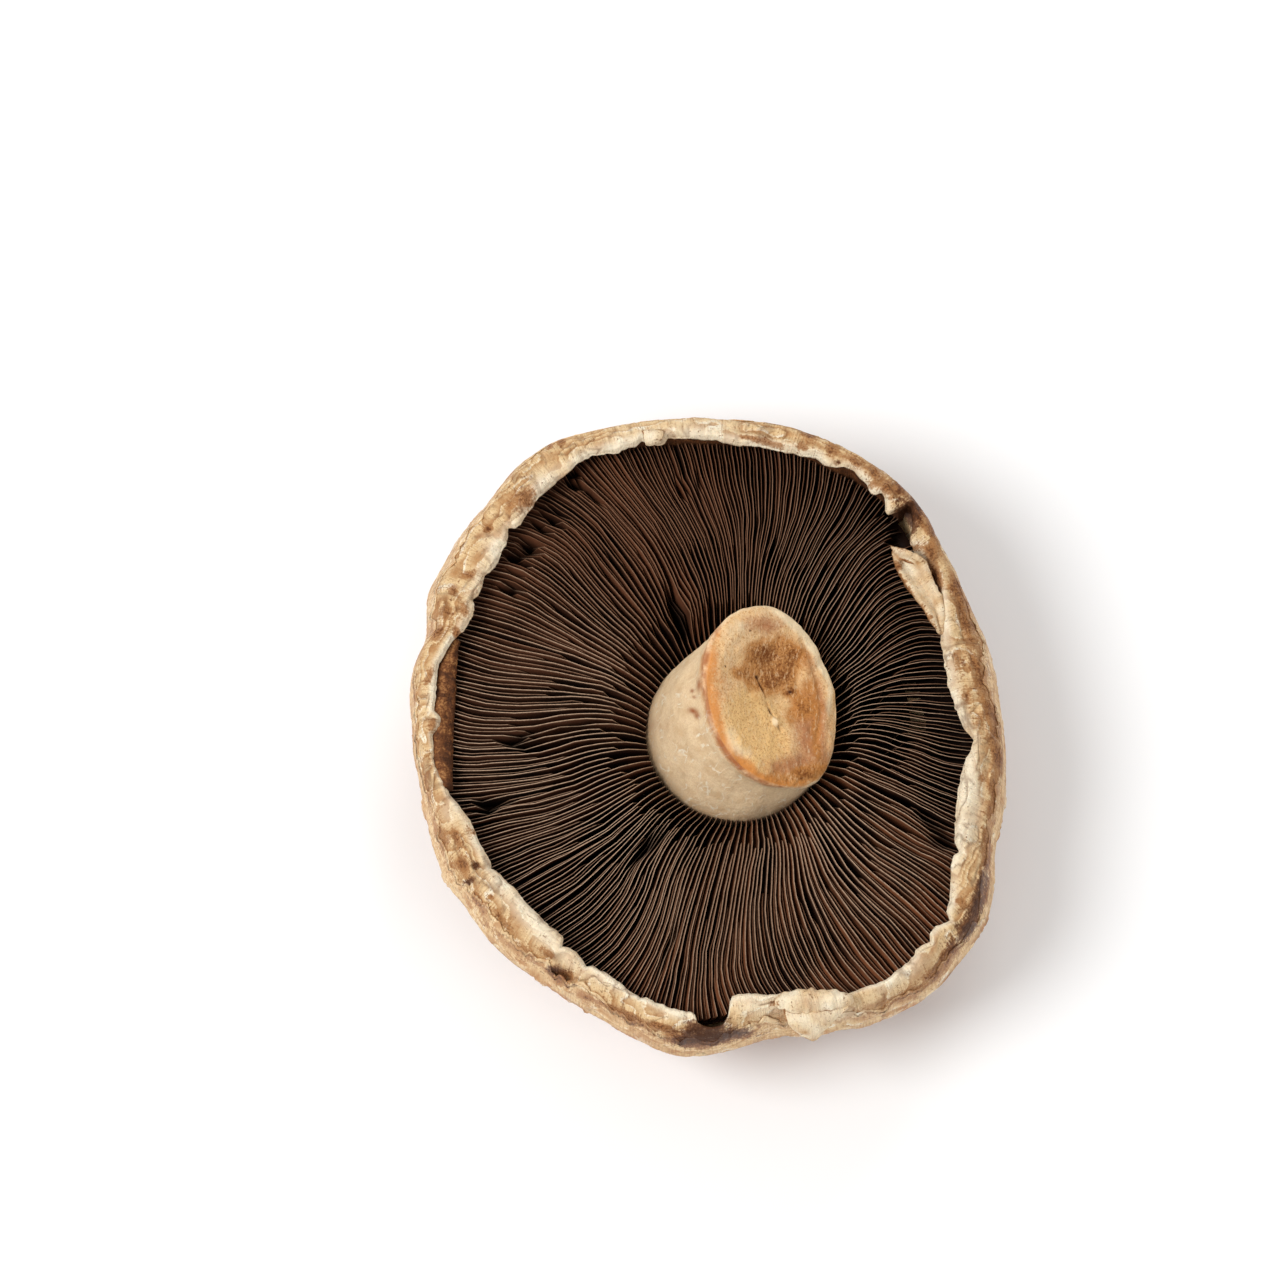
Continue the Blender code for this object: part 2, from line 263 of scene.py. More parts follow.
def put(tree, kind, sockets=None, **settings):
    made = tree.nodes.new(kind)
    for name, value in settings.items():
        setattr(made, name, value)
    for key, value in (sockets or {}).items():
        byNumber = isinstance(key, int)
        socket = made.inputs[key] if byNumber else next(s for s in made.inputs if s.name == key and s.enabled)
        if isSocket(value):
            tree.links.new(value, socket)
        else:
            socket.default_value = value
    return made


def out(made, name=None):
    return next(s for s in made.outputs if s.enabled and name in (None, s.name))


def source(tree, kind, name=None):
    # what Geometry Nodes know by themselves, such as a normal
    return out(put(tree, "GeometryNodeInput" + kind), name)


def calc(operation, *values):
    tree = next(value.id_data for value in values if isSocket(value))
    return out(put(tree, "ShaderNodeMath", dict(enumerate(values)), operation=operation))


def calcVector(operation, vector, value):
    sockets = {0: vector, "Scale" if operation == "SCALE" else 1: value}
    return out(put(vector.id_data, "ShaderNodeVectorMath", sockets, operation=operation))


def times(first, second):
    return calc("MULTIPLY", first, second)


def centred(value):
    return calc("SUBTRACT", value, 0.5)


def stirred(value, *noises):
    # moved up and down by noises, each (noise from 0 to 1, how far)
    for wave, amount in noises:
        value = calc("MULTIPLY_ADD", centred(wave), amount, value)
    return value


def weighed(*parts):
    # a sum of values, each times its weight
    total, *others = (times(value, weight) for value, weight in parts)
    for other in others:
        total = calc("ADD", total, other)
    return total


def axisOf(vector, axis):
    return put(vector.id_data, "ShaderNodeSeparateXYZ", {0: vector}).outputs[axis]


def slid(vector, distance):
    # moved along Z
    return calcVector("ADD", vector, out(put(vector.id_data, "ShaderNodeCombineXYZ", {"Z": distance})))


def band(value, low, high, start=0.0, end=1.0):
    # an eased step from start to end as the value goes from low to high
    sockets = {"Value": value, "From Min": low, "From Max": high, "To Min": start, "To Max": end}
    return out(put(value.id_data, "ShaderNodeMapRange", sockets, interpolation_type="SMOOTHSTEP"))


def grain(vector, size, detail=2.0, rough=0.5):
    # noise from 0 to 1 whose lumps are this many millimetres; size may be a triple
    if not isinstance(size, (int, float)):
        vector = calcVector("DIVIDE", vector, size)
        size = 1.0
    tree = vector.id_data
    sockets = {"Vector": vector, "Scale": 1 / size, "Detail": detail, "Roughness": rough}
    return out(put(tree, "ShaderNodeTexNoise", sockets), "Fac" if tree.type == "SHADER" else None)


def cellNoise(vector, scale, feature="F1", **sockets):
    sockets = {"Vector": vector, "Scale": scale, **sockets}
    return put(vector.id_data, "ShaderNodeTexVoronoi", sockets, feature=feature).outputs


def layered(finish, ground, *layers):
    # colours laid over one another, each (how much, colour); a word is a colour of the finish
    colour = finish.get(ground, ground)
    for amount, cover in layers:
        sockets = {0: amount, 6: colour, 7: finish.get(cover, cover)}
        colour = put(amount.id_data, "ShaderNodeMix", sockets, data_type="RGBA").outputs[2]
    return colour


def readAttribute(tree, name, vector=False):
    if tree.type == "SHADER":
        made = put(tree, "ShaderNodeAttribute", attribute_name=name)
        return made.outputs["Vector" if vector else "Fac"]
    kind = "FLOAT_VECTOR" if vector else "FLOAT"
    return out(put(tree, "GeometryNodeInputNamedAttribute", {"Name": name}, data_type=kind))


def newMaterial(name, finish):
    # the finish holds the sockets that are plain numbers
    material = bpy.data.materials.new(name)
    material.use_nodes = True
    tree = material.node_tree
    for label, value in finish["surface"].items():
        tree.nodes["Principled BSDF"].inputs[label].default_value = value
    return material, tree


def objectPlace(tree):
    # the piece's own coordinates in millimetres
    return calcVector("SCALE", put(tree, "ShaderNodeTexCoord").outputs["Object"], 1000.0)


def finishMaterial(material, finish, colour, grit, height):
    # the noise called grit sets the roughness
    tree = material.node_tree
    sockets = {"Strength": 1.0, "Distance": finish["bump"] * mm, "Height": height}
    links = {
        "Base Color": colour,
        "Roughness": band(grit, 0.3, 0.7, *finish["roughness"]),
        "Normal": out(put(tree, "ShaderNodeBump", sockets)),
    }
    for name, value in links.items():
        tree.links.new(value, tree.nodes["Principled BSDF"].inputs[name])
    return material


def newTree(name, inputs):
    # a tree that takes a piece's geometry, these inputs (kind and value) and a material
    tree = bpy.data.node_groups.new(name, "GeometryNodeTree")
    inputs = {"Geometry": ("Geometry", None), **inputs, "Material": ("Material", None)}
    for label, (kind, value) in inputs.items():
        socket = tree.interface.new_socket(label, in_out="INPUT", socket_type="NodeSocket" + kind)
        if value is not None:
            socket.default_value = value
    tree.interface.new_socket("Geometry", in_out="OUTPUT", socket_type="NodeSocketGeometry")
    return tree, tree.nodes.new("NodeGroupInput").outputs


def step(geometry, kind, sockets=None, **settings):
    # one node that changes geometry
    sockets = {"Geometry": geometry, **(sockets or {})}
    return out(put(geometry.id_data, "GeometryNode" + kind, sockets, **settings))


def finishTree(tree, given, geometry):
    shown = step(geometry, "SetMaterial", {"Material": given["Material"]})
    tree.links.new(shown, tree.nodes.new("NodeGroupOutput").inputs["Geometry"])
    return tree


def runTree(piece, tree, material):
    # the tree's result becomes the piece's own mesh
    modifier = piece.modifiers.new(tree.name, "NODES")
    modifier.node_group = tree
    for item in tree.interface.items_tree:
        if item.in_out == "INPUT" and item.name == "Material":
            modifier[item.identifier] = material
    graph = bpy.context.evaluated_depsgraph_get()
    made = bpy.data.meshes.new_from_object(
        piece.evaluated_get(graph), preserve_all_data_layers=True, depsgraph=graph
    )
    piece.modifiers.remove(modifier)
    before = piece.data
    piece.data = made
    bpy.data.meshes.remove(before)
    made.name = piece.name
    return piece


def settle(piece, slot, *nodes):
    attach(piece, "root")
    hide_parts(*nodes)
    print(piece.name, len(piece.data.loop_triangles) or len(piece.data.polygons), "faces")


# the cap's own measures

capShape = {
    "outline": [
        55.6, 55.1, 56.1, 58.4, 61.0, 62.2, 61.8, 62.8, 64.0, 63.2, 59.9, 57.2,
        55.8, 56.2, 57.0, 57.3, 57.8, 60.4, 62.0, 61.2, 63.6, 64.3, 61.6, 57.6,
    ],  # radius every 15 degrees
    "meanRadius": 59.4,
    "crownRadius": 17.0,  # flat out to here
    "crownShare": 0.27,
    "widestHeight": 24.0,
    "shoulder": (2.3, 0.6),
    "rimHeight": 36.6,
    "swell": (1.1, 2.2),  # height and waves
    "burnt": (5.5, 2.6),  # a rim narrower than this drops by up to that
    "wall": (2.9, 6.0),
    "wallInset": 0.6,
    "floor": (19.0, 8.5),  # height at the stem, and rise to the rim
    "stemFoot": (5.2, 0.4),
}
traceMiddle = (708, 740)  # the picture point that the two traces below go round
traceHeights = {"lip": 36.0, "outline": 26.0}
outlineReach = 305.0  # pixels from the middle

# The torn inner edge as the camera sees it: degrees, and pixels from the middle
lipTrace = [
    (0, 266), (2, 259), (4, 255.5), (6, 253), (8, 250), (10, 248.5), (12, 247.2), (13.5, 246.5),
    (15, 248.5), (17, 249), (19, 251), (21, 252), (23, 253.5), (25, 258), (27, 262.5), (29, 267.5),
    (31, 272), (33, 275.5), (36, 280), (39, 281), (42, 280), (44, 282), (45, 287), (46, 294), (47, 301),
    (48, 306), (49, 310), (49.8, 308), (50.4, 297), (51.3, 289), (52.2, 290), (53, 295), (54, 301),
    (54.8, 303), (55.6, 297), (56.6, 296), (57.4, 299), (58.3, 303), (60, 304), (62, 307), (63.5, 307),
    (65, 302), (67, 301.5), (69, 303), (71, 300), (73, 300.5), (75, 298), (78, 299), (81, 298), (84, 297),
    (87, 298.5), (90, 301), (93, 303), (96, 305), (97.6, 306), (98.3, 301), (99, 299.5), (100.4, 300),
    (101.4, 305), (102.5, 307.5), (104, 303.5), (106, 303), (108, 304), (110, 306.5), (112, 309),
    (115, 308), (117, 304), (119, 302), (121, 300.5), (123, 298), (125, 295), (127, 291.5), (129, 289),
    (131, 286), (132.3, 286), (133.2, 291.5), (134.5, 286), (136, 281), (138, 279), (140, 277),
    (142.5, 276.5), (143.5, 278.5), (145, 275), (147.5, 273.5), (149, 275), (150, 270), (152, 267),
    (154, 267.5), (156, 269), (158, 273), (160, 275), (162, 278.5), (164, 280.5), (167, 279.5), (169, 278),
    (171, 277), (173.6, 276.5), (175, 271), (176.5, 269.5), (177.6, 272), (178.4, 276.5), (181, 276),
    (184, 274), (187, 270.5), (190, 267), (192.5, 262), (194.5, 259), (197, 254), (199, 252), (202, 251),
    (205, 251), (207, 250.5), (209.3, 250), (210.6, 254), (211.8, 249.5), (214, 248), (217, 245.5),
    (220, 245), (224, 245), (228, 245), (232, 245), (234, 246), (234.8, 253), (236.4, 250.5), (238, 251),
    (240.5, 253), (241.7, 257.5), (243, 253), (246, 255), (249, 258), (252, 261.5), (254.6, 263.5),
    (255.2, 266), (256.5, 265), (258.5, 268.5), (260.5, 268), (262, 271.5), (264, 273), (266, 272.5),
    (267.3, 274), (267.9, 282), (269.5, 285), (271, 286), (273, 285), (274.2, 277), (274.8, 263),
    (275.4, 258), (277, 257), (279, 257.5), (281, 259), (284, 262), (287, 265), (290, 268), (292, 272.5),
    (294, 277), (296, 282), (298, 288), (300, 291), (303, 294), (306, 297.5), (309, 299), (312, 300),
    (313.8, 299.5), (314.7, 296), (316.6, 297.5), (317.7, 300.5), (318.7, 295.5), (320.6, 295), (322, 299),
    (323.3, 303.5), (324.3, 295), (326.5, 291), (328.5, 285.5), (330.5, 280), (332.5, 274.5), (334.6, 271),
    (336.2, 275), (337.2, 269), (339.5, 264.5), (341.6, 260), (342.2, 262), (343, 259.5), (346, 257),
    (349, 255.5), (352, 255.5), (355, 258.5), (357.5, 263),
]

# Where the real outline lies inside the smooth one: degrees as in the trace, and millimetres
outlineTrim = [
    (8, 0), (18, -0.5), (25, 0.2), (31, 0.4), (40, 0), (46, -0.7), (51, -0.85), (54, -0.8), (62, 0),
    (100, 0), (113, -0.3), (118, -0.9), (122, -0.6), (127, 0.1), (131, 1.3), (135, 1.7), (140, 0.9),
    (146, 0.5), (152, -0.5), (157, 0.8), (160, 1.8), (163, 0.6), (168, -0.5), (174, 0.1), (181, 0.3),
    (189, 1.2), (196, 1.2), (204, 0.7), (209, 0.3), (213, 1.2), (222, 0.5), (231, 0.8), (235, 1.4),
    (243, 1.5), (247, 1.8), (253, 1.6), (258, 0.9), (261, 0.2), (265, 0.5), (268, 0.5), (272, 1.5),
    (277, 2.1), (282, 2.7), (286, 2.0), (291, 1.8), (295, 1.2), (300, 0.7), (306, 0.7), (312, 0),
    (319, 0.75), (323, 0.2), (328, -0.1), (332, 0.6), (336, 1.6), (340, 1.9), (345, 0.7), (351, 0.4),
    (357, 0.2),
]

rimShape = {
    "ragged": [(0.22, 2.4, 51), (0.16, 0.9, 52), (0.07, 0.4, 53)],  # how far the torn edge wanders
    "edge": 1.15,  # thickness of the torn edge
    "edgeLumps": [(0.5, 2.2, 61), (0.2, 0.7, 62)],
    "edgeBulge": (0.22, 0.1),  # inwards at its middle, and outwards at its foot
    "wallTop": 33.0,  # where the underside meets the wall
    "calmWidths": (2.5, 5.0),  # the rim is smoother where it is narrow
    "lumps": [(0.5, 4.2, 31), (0.26, 1.6, 32), (0.1, 0.6, 33)],  # unevenness of its upper side
    "folds": [(0.26, (5.0, 5.0, 0.9), 41)],  # wrinkles that run round it
    "creases": [(0.3, (1.1, 1.1, 5.0), 42)],  # and those that run across it
    "valleys": 0.3,  # depth of the thin lines in it
    "valleyLines": [  # lump size, seed, breadth, size of the patches that have them, how they fade in
        ((7.0, 7.0, 1.5), 26, 0.085, 4.5, -0.1, 0.35),
        ((1.9, 1.9, 7.0), 28, 0.10, 4.0, 0.0, 0.4),
    ],
    "layers": 0.36,  # how far a torn layer stands over the next
    "grooves": [  # from, to (degrees), share of the width, depth, breadth
        (202, 263, 0.42, 0.9, 0.55), (298, 322, 0.45, 0.6, 0.5), (158, 194, 0.30, 0.5, 0.5),
        (2, 27, 0.46, 0.35, 0.6), (330, 359, 0.50, 0.45, 0.6), (66, 92, 0.62, 0.45, 0.4),
        (118, 156, 0.52, 0.4, 0.7),
    ],
    "grooveEnds": 6,  # degrees over which they run out
    "grooveLip": (0.45, 0.32, 0.2),  # the ridge beside a groove: share of its depth, how far in, breadth
    "pits": [  # picture point, length, width, turn, depth
        (560, 974, 14, 6, 12, 4.2), (476, 865.5, 4.6, 4.2, 0, 1.3), (470, 881, 6, 3, 30, 0.5),
        (488, 529, 4, 3, 20, 0.7), (574, 985, 3, 2, 0, 0.7), (587, 998, 5, 1.6, -25, 0.6),
        (903, 517, 6, 16, 10, 1.6), (838, 462, 3.5, 2.5, 0, 0.6), (706, 1030, 9, 7, 0, 0.9),
    ],
    "skinEdge": 0.25,  # share of the width where the skin's ragged margin ends
    "skinRagged": [(0.10, 5.0, 3), (0.09, 1.6, 4), (0.05, 0.6, 5)],
    "skinLimits": (0.13, 0.4),
    "skinThickness": 0.35,
    "flank": [  # share of the width in from the outline, and height over the rim's top
        (0.0, None), (0.08, -9.2), (0.17, -6.1), (0.27, -3.3), (0.38, -1.45), (0.5, -0.6),
    ],
    "crest": [(0.5, -0.6), (0.62, -0.1), (0.74, 0.25), (0.86, 0.3), (0.95, 0.0), (1.0, -0.55)],
}


def domeHeight(share):
    power, root = capShape["shoulder"]
    climb = np.clip((share - capShape["crownShare"]) / (1 - capShape["crownShare"]), 0, 1)
    return capShape["widestHeight"] * (1 - (1 - climb**power) ** root)


def seenAngles(degrees, radius, height):
    # the cap's own angles and radii for places traced round the middle of the gills
    degrees = np.radians(degrees)
    x, y = traceMiddle
    place = fromPicture(x + radius * np.cos(degrees), y - radius * np.sin(degrees), height)
    angles = np.mod(np.arctan2(place[:, 1], place[:, 0]), turn)
    order = np.argsort(angles)
    return angles[order], flatLength(place)[order], order


def capColumns(count):
    # everything about the rim that depends on the angle alone
    angles = turn * np.arange(count) / count
    trimDegrees, trims = np.array(outlineTrim, float).T
    trimAngles, _, order = seenAngles(trimDegrees, outlineReach, traceHeights["outline"])
    outline = closedCurve(capShape["outline"], angles)
    outline -= evenOut(np.interp(angles, trimAngles, trims[order], period=turn), 1.5)
    lipAngles, lipRadii, _ = seenAngles(*np.array(lipTrace, float).T, traceHeights["lip"])
    width = outline - np.interp(angles, lipAngles, lipRadii, period=turn)
    smoothWidth = evenOut(evenOut(width, 3), 3)
    wall = evenOut(np.clip(width - capShape["wallInset"], *capShape["wall"]), 16)
    swell, waves = capShape["swell"]
    top = capShape["rimHeight"] + np.array([
        swell * noise.noise(Vector((waves * math.cos(a), waves * math.sin(a), 1.0))) for a in angles
    ])
    narrow, drop = capShape["burnt"]
    top -= drop * np.maximum(0, 1 - smoothWidth / narrow)
    return {
        "angles": angles, "outline": outline, "width": width, "smoothWidth": smoothWidth,
        "wall": wall, "top": top,
    }


def skinMargin(columns):
    # where the skin stops on the rim, as a share of its width
    ragged = lumpSum(polar(60.0, columns["angles"], 0.0), rimShape["skinRagged"])
    return np.clip(rimShape["skinEdge"] + ragged, *rimShape["skinLimits"])


def flankPath(columns, shares):
    # heights of the outer flank at these shares of the width, one row of columns for each
    known, heights = zip(*rimShape["flank"])
    top = columns["top"]
    heights = [np.full(len(top), capShape["widestHeight"])] + [top + h for h in heights[1:]]
    fine = openCurve(np.array(known), 60)
    path = openCurve(np.array(heights), 60)
    return np.array([
        [np.interp(share, fine, path[:, k]) for k, share in enumerate(row)] for row in shares
    ])


# Marks on the rim, from the photograph, as ovals() takes them
rimMarks = {
    "brown": [
        (562, 443, 5, 4, 0, 0.8), (550, 446, 5, 2.5, 60, 0.7), (526, 497, 20, 9, 55, 0.55),
        (511, 503, 14, 6, 45, 0.6), (488, 528, 6, 4, 30, 1.0), (528, 504, 6, 5, 0, 0.75),
        (468, 575, 9, 4, 10, 0.7), (454, 591, 7, 6, 0, 0.75), (463, 609, 6, 9, 10, 0.6),
        (447, 612, 7, 9, 0, 0.6), (438, 633, 10, 8, 60, 0.7), (456, 632, 4, 9, 15, 0.8),
        (429, 676, 4, 12, -15, 0.65), (413, 694, 4, 12, 0, 0.4), (432, 724, 6, 8, 0, 0.5),
        (750, 438, 12, 3, -10, 0.7), (773, 444, 16, 4, -15, 0.75), (808, 436, 9, 6, -20, 0.9),
        (803, 447, 7, 4, -20, 0.8), (832, 450, 12, 6, -30, 0.75), (856, 462, 12, 5, -35, 0.65),
        (876, 473, 11, 6, -40, 0.8), (873, 485, 6, 5, 0, 0.6), (888, 488, 8, 7, -45, 0.85),
        (900, 489, 8, 6, -45, 0.9), (893, 501, 5, 5, 0, 0.4), (917, 514, 12, 8, -55, 0.95),
        # the row below ends with painted shadow in the slit behind the right flap
        (932, 533, 14, 6, -60, 0.8), (931, 556, 7, 14, 10, 0.95), (936, 577, 5, 14, 15, 1.0),
        (900, 562, 4, 12, -30, 0.9), (910, 549, 14, 3, 10, 0.8), (956, 588, 7, 13, 20, 0.95),
        (962, 606, 6, 12, 15, 0.8), (967, 624, 7, 18, 15, 0.9), (976, 664, 7, 22, 12, 0.85),
        (958, 663, 6, 14, 10, 0.55), (982, 683, 6, 14, 12, 0.8), (966, 694, 6, 10, 15, 0.5),
        (990, 711, 7, 15, 15, 0.85), (980, 722, 8, 8, 0, 0.6), (994, 738, 8, 9, 0, 0.75),
        (997, 758, 7, 12, 0, 0.8), (994, 785, 5, 14, 0, 0.65), (982, 777, 6, 8, 0, 0.5),
        (991, 809, 5, 14, 5, 0.6), (987, 838, 6, 14, 5, 0.7), (989, 861, 6, 14, 0, 0.85),
        (962, 902, 6, 9, 10, 0.5), (935, 976, 18, 9, 40, 0.7), (950, 955, 12, 10, 50, 0.7),
        (917, 993, 14, 6, 35, 0.45), (899, 1000, 12, 4, 30, 0.6), (876, 1016, 8, 3, 30, 0.75),
        (843, 1024, 9, 3, 15, 0.5), (776, 1003, 7, 3, 0, 0.7), (826, 1010, 5, 3, 0, 0.7),
        (773, 1032, 14, 3, 5, 0.7), (744, 1041, 18, 5, 5, 0.9), (706, 1047, 16, 6, 0, 0.8),
        (426, 797, 8, 14, 10, 0.5), (456, 838, 5, 12, 20, 0.85), (470, 832, 5, 8, 30, 0.6),
        (463, 864, 8, 8, 0, 0.9), (491, 897, 3, 3, 0, 0.9), (500, 938, 12, 5, -45, 0.7),
        (503, 920, 12, 3, -50, 0.7), (547, 952, 10, 4, -30, 0.7), (532, 961, 12, 5, -35, 0.6),
        (606, 1006, 20, 3, -22, 0.85), (588, 998, 8, 3, -30, 0.85), (624, 1014, 14, 3, -20, 0.7),
        (659, 1026, 12, 4, -15, 0.7), (676, 1038, 14, 5, -10, 0.8), (640, 1024, 16, 4, -20, 0.55),
        (426, 760, 4, 14, 0, 0.45), (985, 895, 5, 12, -20, 0.7), (440, 832, 5, 16, 20, 0.5),
        (480, 905, 8, 14, 35, 0.5), (560, 985, 14, 5, -30, 0.5), (564, 977, 12, 5, 10, 0.95),
    ],
    # dried dark patches; those in the pits, in the notch at the right and in the slit behind the right flap
    # are painted shade
    "burnt": [
        (903, 518, 8, 20, 12, 1.0), (909, 527, 7, 14, -15, 1.0), (914, 506, 8, 10, 0, 1.0),
        (918, 515, 6, 8, 0, 0.6), (956, 587, 5, 8, 15, 0.35), (982, 884, 6, 15, -12, 0.9),
        (975, 908, 8, 17, -20, 1.0), (966, 929, 9, 13, -35, 1.0), (752, 1036, 18, 5, 0, 1.0),
        (953, 946, 9, 9, 0, 0.6), (997, 757, 4, 8, 0, 0.4), (989, 862, 4, 10, 0, 0.5),
        (715, 1023, 10, 9, 0, 1.0), (706, 1034, 20, 13, 0, 1.0), (686, 1041, 18, 8, 10, 0.9),
        (728, 1038, 26, 8, 5, 0.9), (730, 1035, 24, 5, 3, 0.8), (720, 1044, 14, 5, 0, 0.85),
        (694, 1032, 9, 9, 0, 0.85), (684, 1046, 10, 4, 0, 0.6), (556, 970, 12, 3.6, -8, 1.0),
        (551, 975, 6, 4, 30, 0.9), (476, 866, 4.5, 4.2, 0, 1.0), (470, 881, 8, 3.5, 30, 0.75),
        (574, 985, 3, 2, 0, 0.9), (587, 998, 6, 1.6, -28, 0.8), (838, 462, 3, 2.4, 0, 0.8),
        (488, 529, 3.5, 2.5, 0, 0.7), (935, 574, 2.6, 10, 18, 0.7), (745, 1041, 14, 3, 5, 0.6),
        (900, 489, 4, 4, 0, 0.5), (808, 436, 4, 3, 0, 0.4),
    ],
    "bright": [
        (650, 437, 9, 7, 0, 0.9), (700, 428, 40, 8, 0, 0.4), (620, 440, 20, 9, 20, 0.4),
        (540, 480, 12, 8, 50, 0.5), (492, 545, 10, 12, 20, 0.5), (930, 640, 6, 30, 15, 0.6),
        (950, 700, 7, 20, 20, 0.5), (972, 790, 9, 30, 0, 0.9), (968, 830, 9, 16, 0, 0.7),
        (830, 1015, 30, 9, 5, 0.6), (900, 975, 30, 9, 35, 0.6), (540, 930, 45, 8, -45, 0.9),
        (500, 885, 14, 8, -45, 0.7), (620, 985, 40, 7, -25, 0.8), (680, 1015, 16, 5, -8, 0.8),
        (430, 700, 4, 20, 0, 0.4), (760, 1005, 26, 10, 0, 0.7), (450, 812, 9, 14, 30, 0.4),
    ],
}


def rimNoise(points):
    return lumps(points, 2.0, 21), lumps(points, 0.8, 22)


def creaseLines(points, ringMap):
    # thin valleys, some running round the rim and some across it; 1 at their bottoms
    moved = ringMap + 1.1 * drifted(points, 2.6, 23)
    for size, seed, breadth, patch, low, high in rimShape["valleyLines"]:
        level = lumps(moved, size, seed) / breadth
        yield np.exp(-(level**2)) * ease(lumps(points, patch, seed + 1), low, high)


def tissueLayers(points, ringMap):
    # each torn layer rises to its edge and drops to the next; 0 to 1
    drift = drifted(points, 1.7, 63)
    level = 2.6 * lumps(ringMap + 0.6 * drift, (12.0, 12.0, 4.2), 66) + 0.6 * lumps(points, 3.0, 67)
    return level - np.floor(level)


def paintRim(points, outerShare):
    # brown gathers towards the outer side, over the listed marks
    coarse, fine = rimNoise(points)
    outside = 0.56 * ease(outerShare, 0.5, 1.0)
    marks = {name: paint(points, spots) for name, spots in rimMarks.items()}
    brown = marks["brown"] * (0.85 + 0.35 * coarse) + outside * (0.75 + 0.6 * coarse + 0.3 * fine)
    return {**marks, "brown": np.clip(brown, 0, 1)}


# materials of the cap

rimFinish = {
    "cream": tint(230, 198, 150),
    "creamShade": tint(188, 140, 92),
    # a pale cream, also painted highlight on raised layers and on the torn edge
    "bright": tint(252, 240, 214),
    "brown": tint(166, 114, 68),
    "brownDeep": tint(112, 68, 40),
    # painted shade in the bottoms of the thin valleys
    "crease": tint(120, 78, 48),
    # the dark of dried patches, also painted shade in the pits, the notch and under the lip
    "burnt": tint(80, 50, 33),
    "roughness": (0.5, 0.8),
    "bump": 0.5,
    "surface": {
        "Subsurface Weight": 0.05, "Subsurface Radius": (1.0, 0.6, 0.35), "Subsurface Scale": 0.0012,
        "Specular IOR Level": 0.12,
    },
}
skinFinish = {
    "tan": tint(210, 144, 82),
    "tanLight": tint(226, 172, 112),
    "tanDark": tint(158, 98, 54),
    "scaleBrown": tint(160, 98, 50),
    "scaleDark": tint(120, 70, 36),
    "cream": tint(234, 206, 160),
    "torn": tint(244, 228, 198),
    # the cracks' colour, also the painted shadow between scales
    "crack": tint(70, 38, 20),
    "roughness": (0.48, 0.72),
    "bump": 0.22,
    "surface": {
        "Subsurface Weight": 0.06, "Subsurface Radius": (1.0, 0.5, 0.3), "Subsurface Scale": 0.001,
        "Specular IOR Level": 0.4,
    },
}
scaleShape = {
    "size": (4.0, 4.0, 5.6),  # width twice, then length
    "mapRadius": 52.0,  # the skin's map is wound on a drum of this radius
    "relief": 0.75,
    "fibreRelief": 0.07,
    "steepness": 1.2,
    "jagged": 1.7,  # how far the torn edges run up and down
    "wander": 3.2,
}


def rimColour(tree, place):
    # returns the colour, the stains' own noise and the height
    marks = {name: readAttribute(tree, name) for name in rimMarks}
    ringMap = readAttribute(tree, "ringMap", vector=True)
    cloud = grain(place, 5.0, 2.0)
    mottle = grain(place, 1.6, 4.0, 0.62)
    fine = grain(place, 0.42, 3.0, 0.6)
    across = grain(ringMap, (0.32, 0.32, 3.5), 3.0, 0.6)
    along = grain(ringMap, (4.0, 4.0, 0.5), 3.0, 0.55)
    level = stirred(readAttribute(tree, "layer"), (mottle, 1.1), (cloud, 0.9))
    blend = weighed((mottle, 0.38), (fine, 0.32), (across, 0.15), (along, 0.15))
    stain = calc("MULTIPLY_ADD", marks["brown"], 0.42, blend)
    charredAndShade = stirred(marks["burnt"], (blend, 3.4))
    deep = layered(rimFinish, "brown", (band(fine, 0.4, 0.62), "brownDeep"))
    colour = layered(
        rimFinish, "creamShade",
        # pale where a layer rises and tan where it lies low: painted highlight and painted shade by height
        (band(level, -0.1, 0.7), "cream"),
        (band(level, 0.75, 1.15), "bright"),
        (times(band(across, 0.47, 0.66), 0.55), "creamShade"),
        (band(fine, 0.53, 0.66, 0.0, 0.55), "creamShade"),
        (times(marks["bright"], 0.8), "bright"),
        # brown stains, darkest in their middles
        (band(stain, 0.55, 0.68, 0.0, 0.85), "brown"),
        (band(stain, 0.7, 0.82, 0.0, 0.95), deep),
        (band(fine, 0.63, 0.72, 0.0, 0.45), "brown"),
        # painted shade along the thin valleys
        (times(readAttribute(tree, "creaseShade"), 0.6), "crease"),
        # dried dark patches, with painted shade in the pits, the notch and under the lip
        (band(charredAndShade, 0.15, 0.6, 0.0, 0.9), "brownDeep"),
        (band(charredAndShade, 0.5, 1.0), "burnt"),
    )
    return colour, blend, weighed((fine, 0.6), (along, 0.4), (across, 0.6))


def rimMaterial():
    material, tree = newMaterial("tornVeil", rimFinish)
    return finishMaterial(material, rimFinish, *rimColour(tree, objectPlace(tree)))


def scalePattern(skinMap):
    # each scale's own length (0 at its torn upper edge), nearness to its border, and a chance number
    tears = grain(skinMap, (0.55, 0.55, 5.0), 2.0, 0.6)
    drift = grain(skinMap, 8.0, 1.0)
    shift = weighed((centred(tears), 2 * scaleShape["jagged"]), (centred(drift), 2 * scaleShape["wander"]))
    cells = calcVector("DIVIDE", slid(skinMap, shift), scaleShape["size"])
    nearest = cellNoise(cells, 1.0, Randomness=0.8)
    border = cellNoise(cells, 1.0, "DISTANCE_TO_EDGE", Randomness=0.8)["Distance"]
    along = calc("SUBTRACT", axisOf(cells, "Z"), axisOf(nearest["Position"], "Z"))
    return calc("MULTIPLY_ADD", along, 0.95, 0.5), border, axisOf(nearest["Color"], "X")


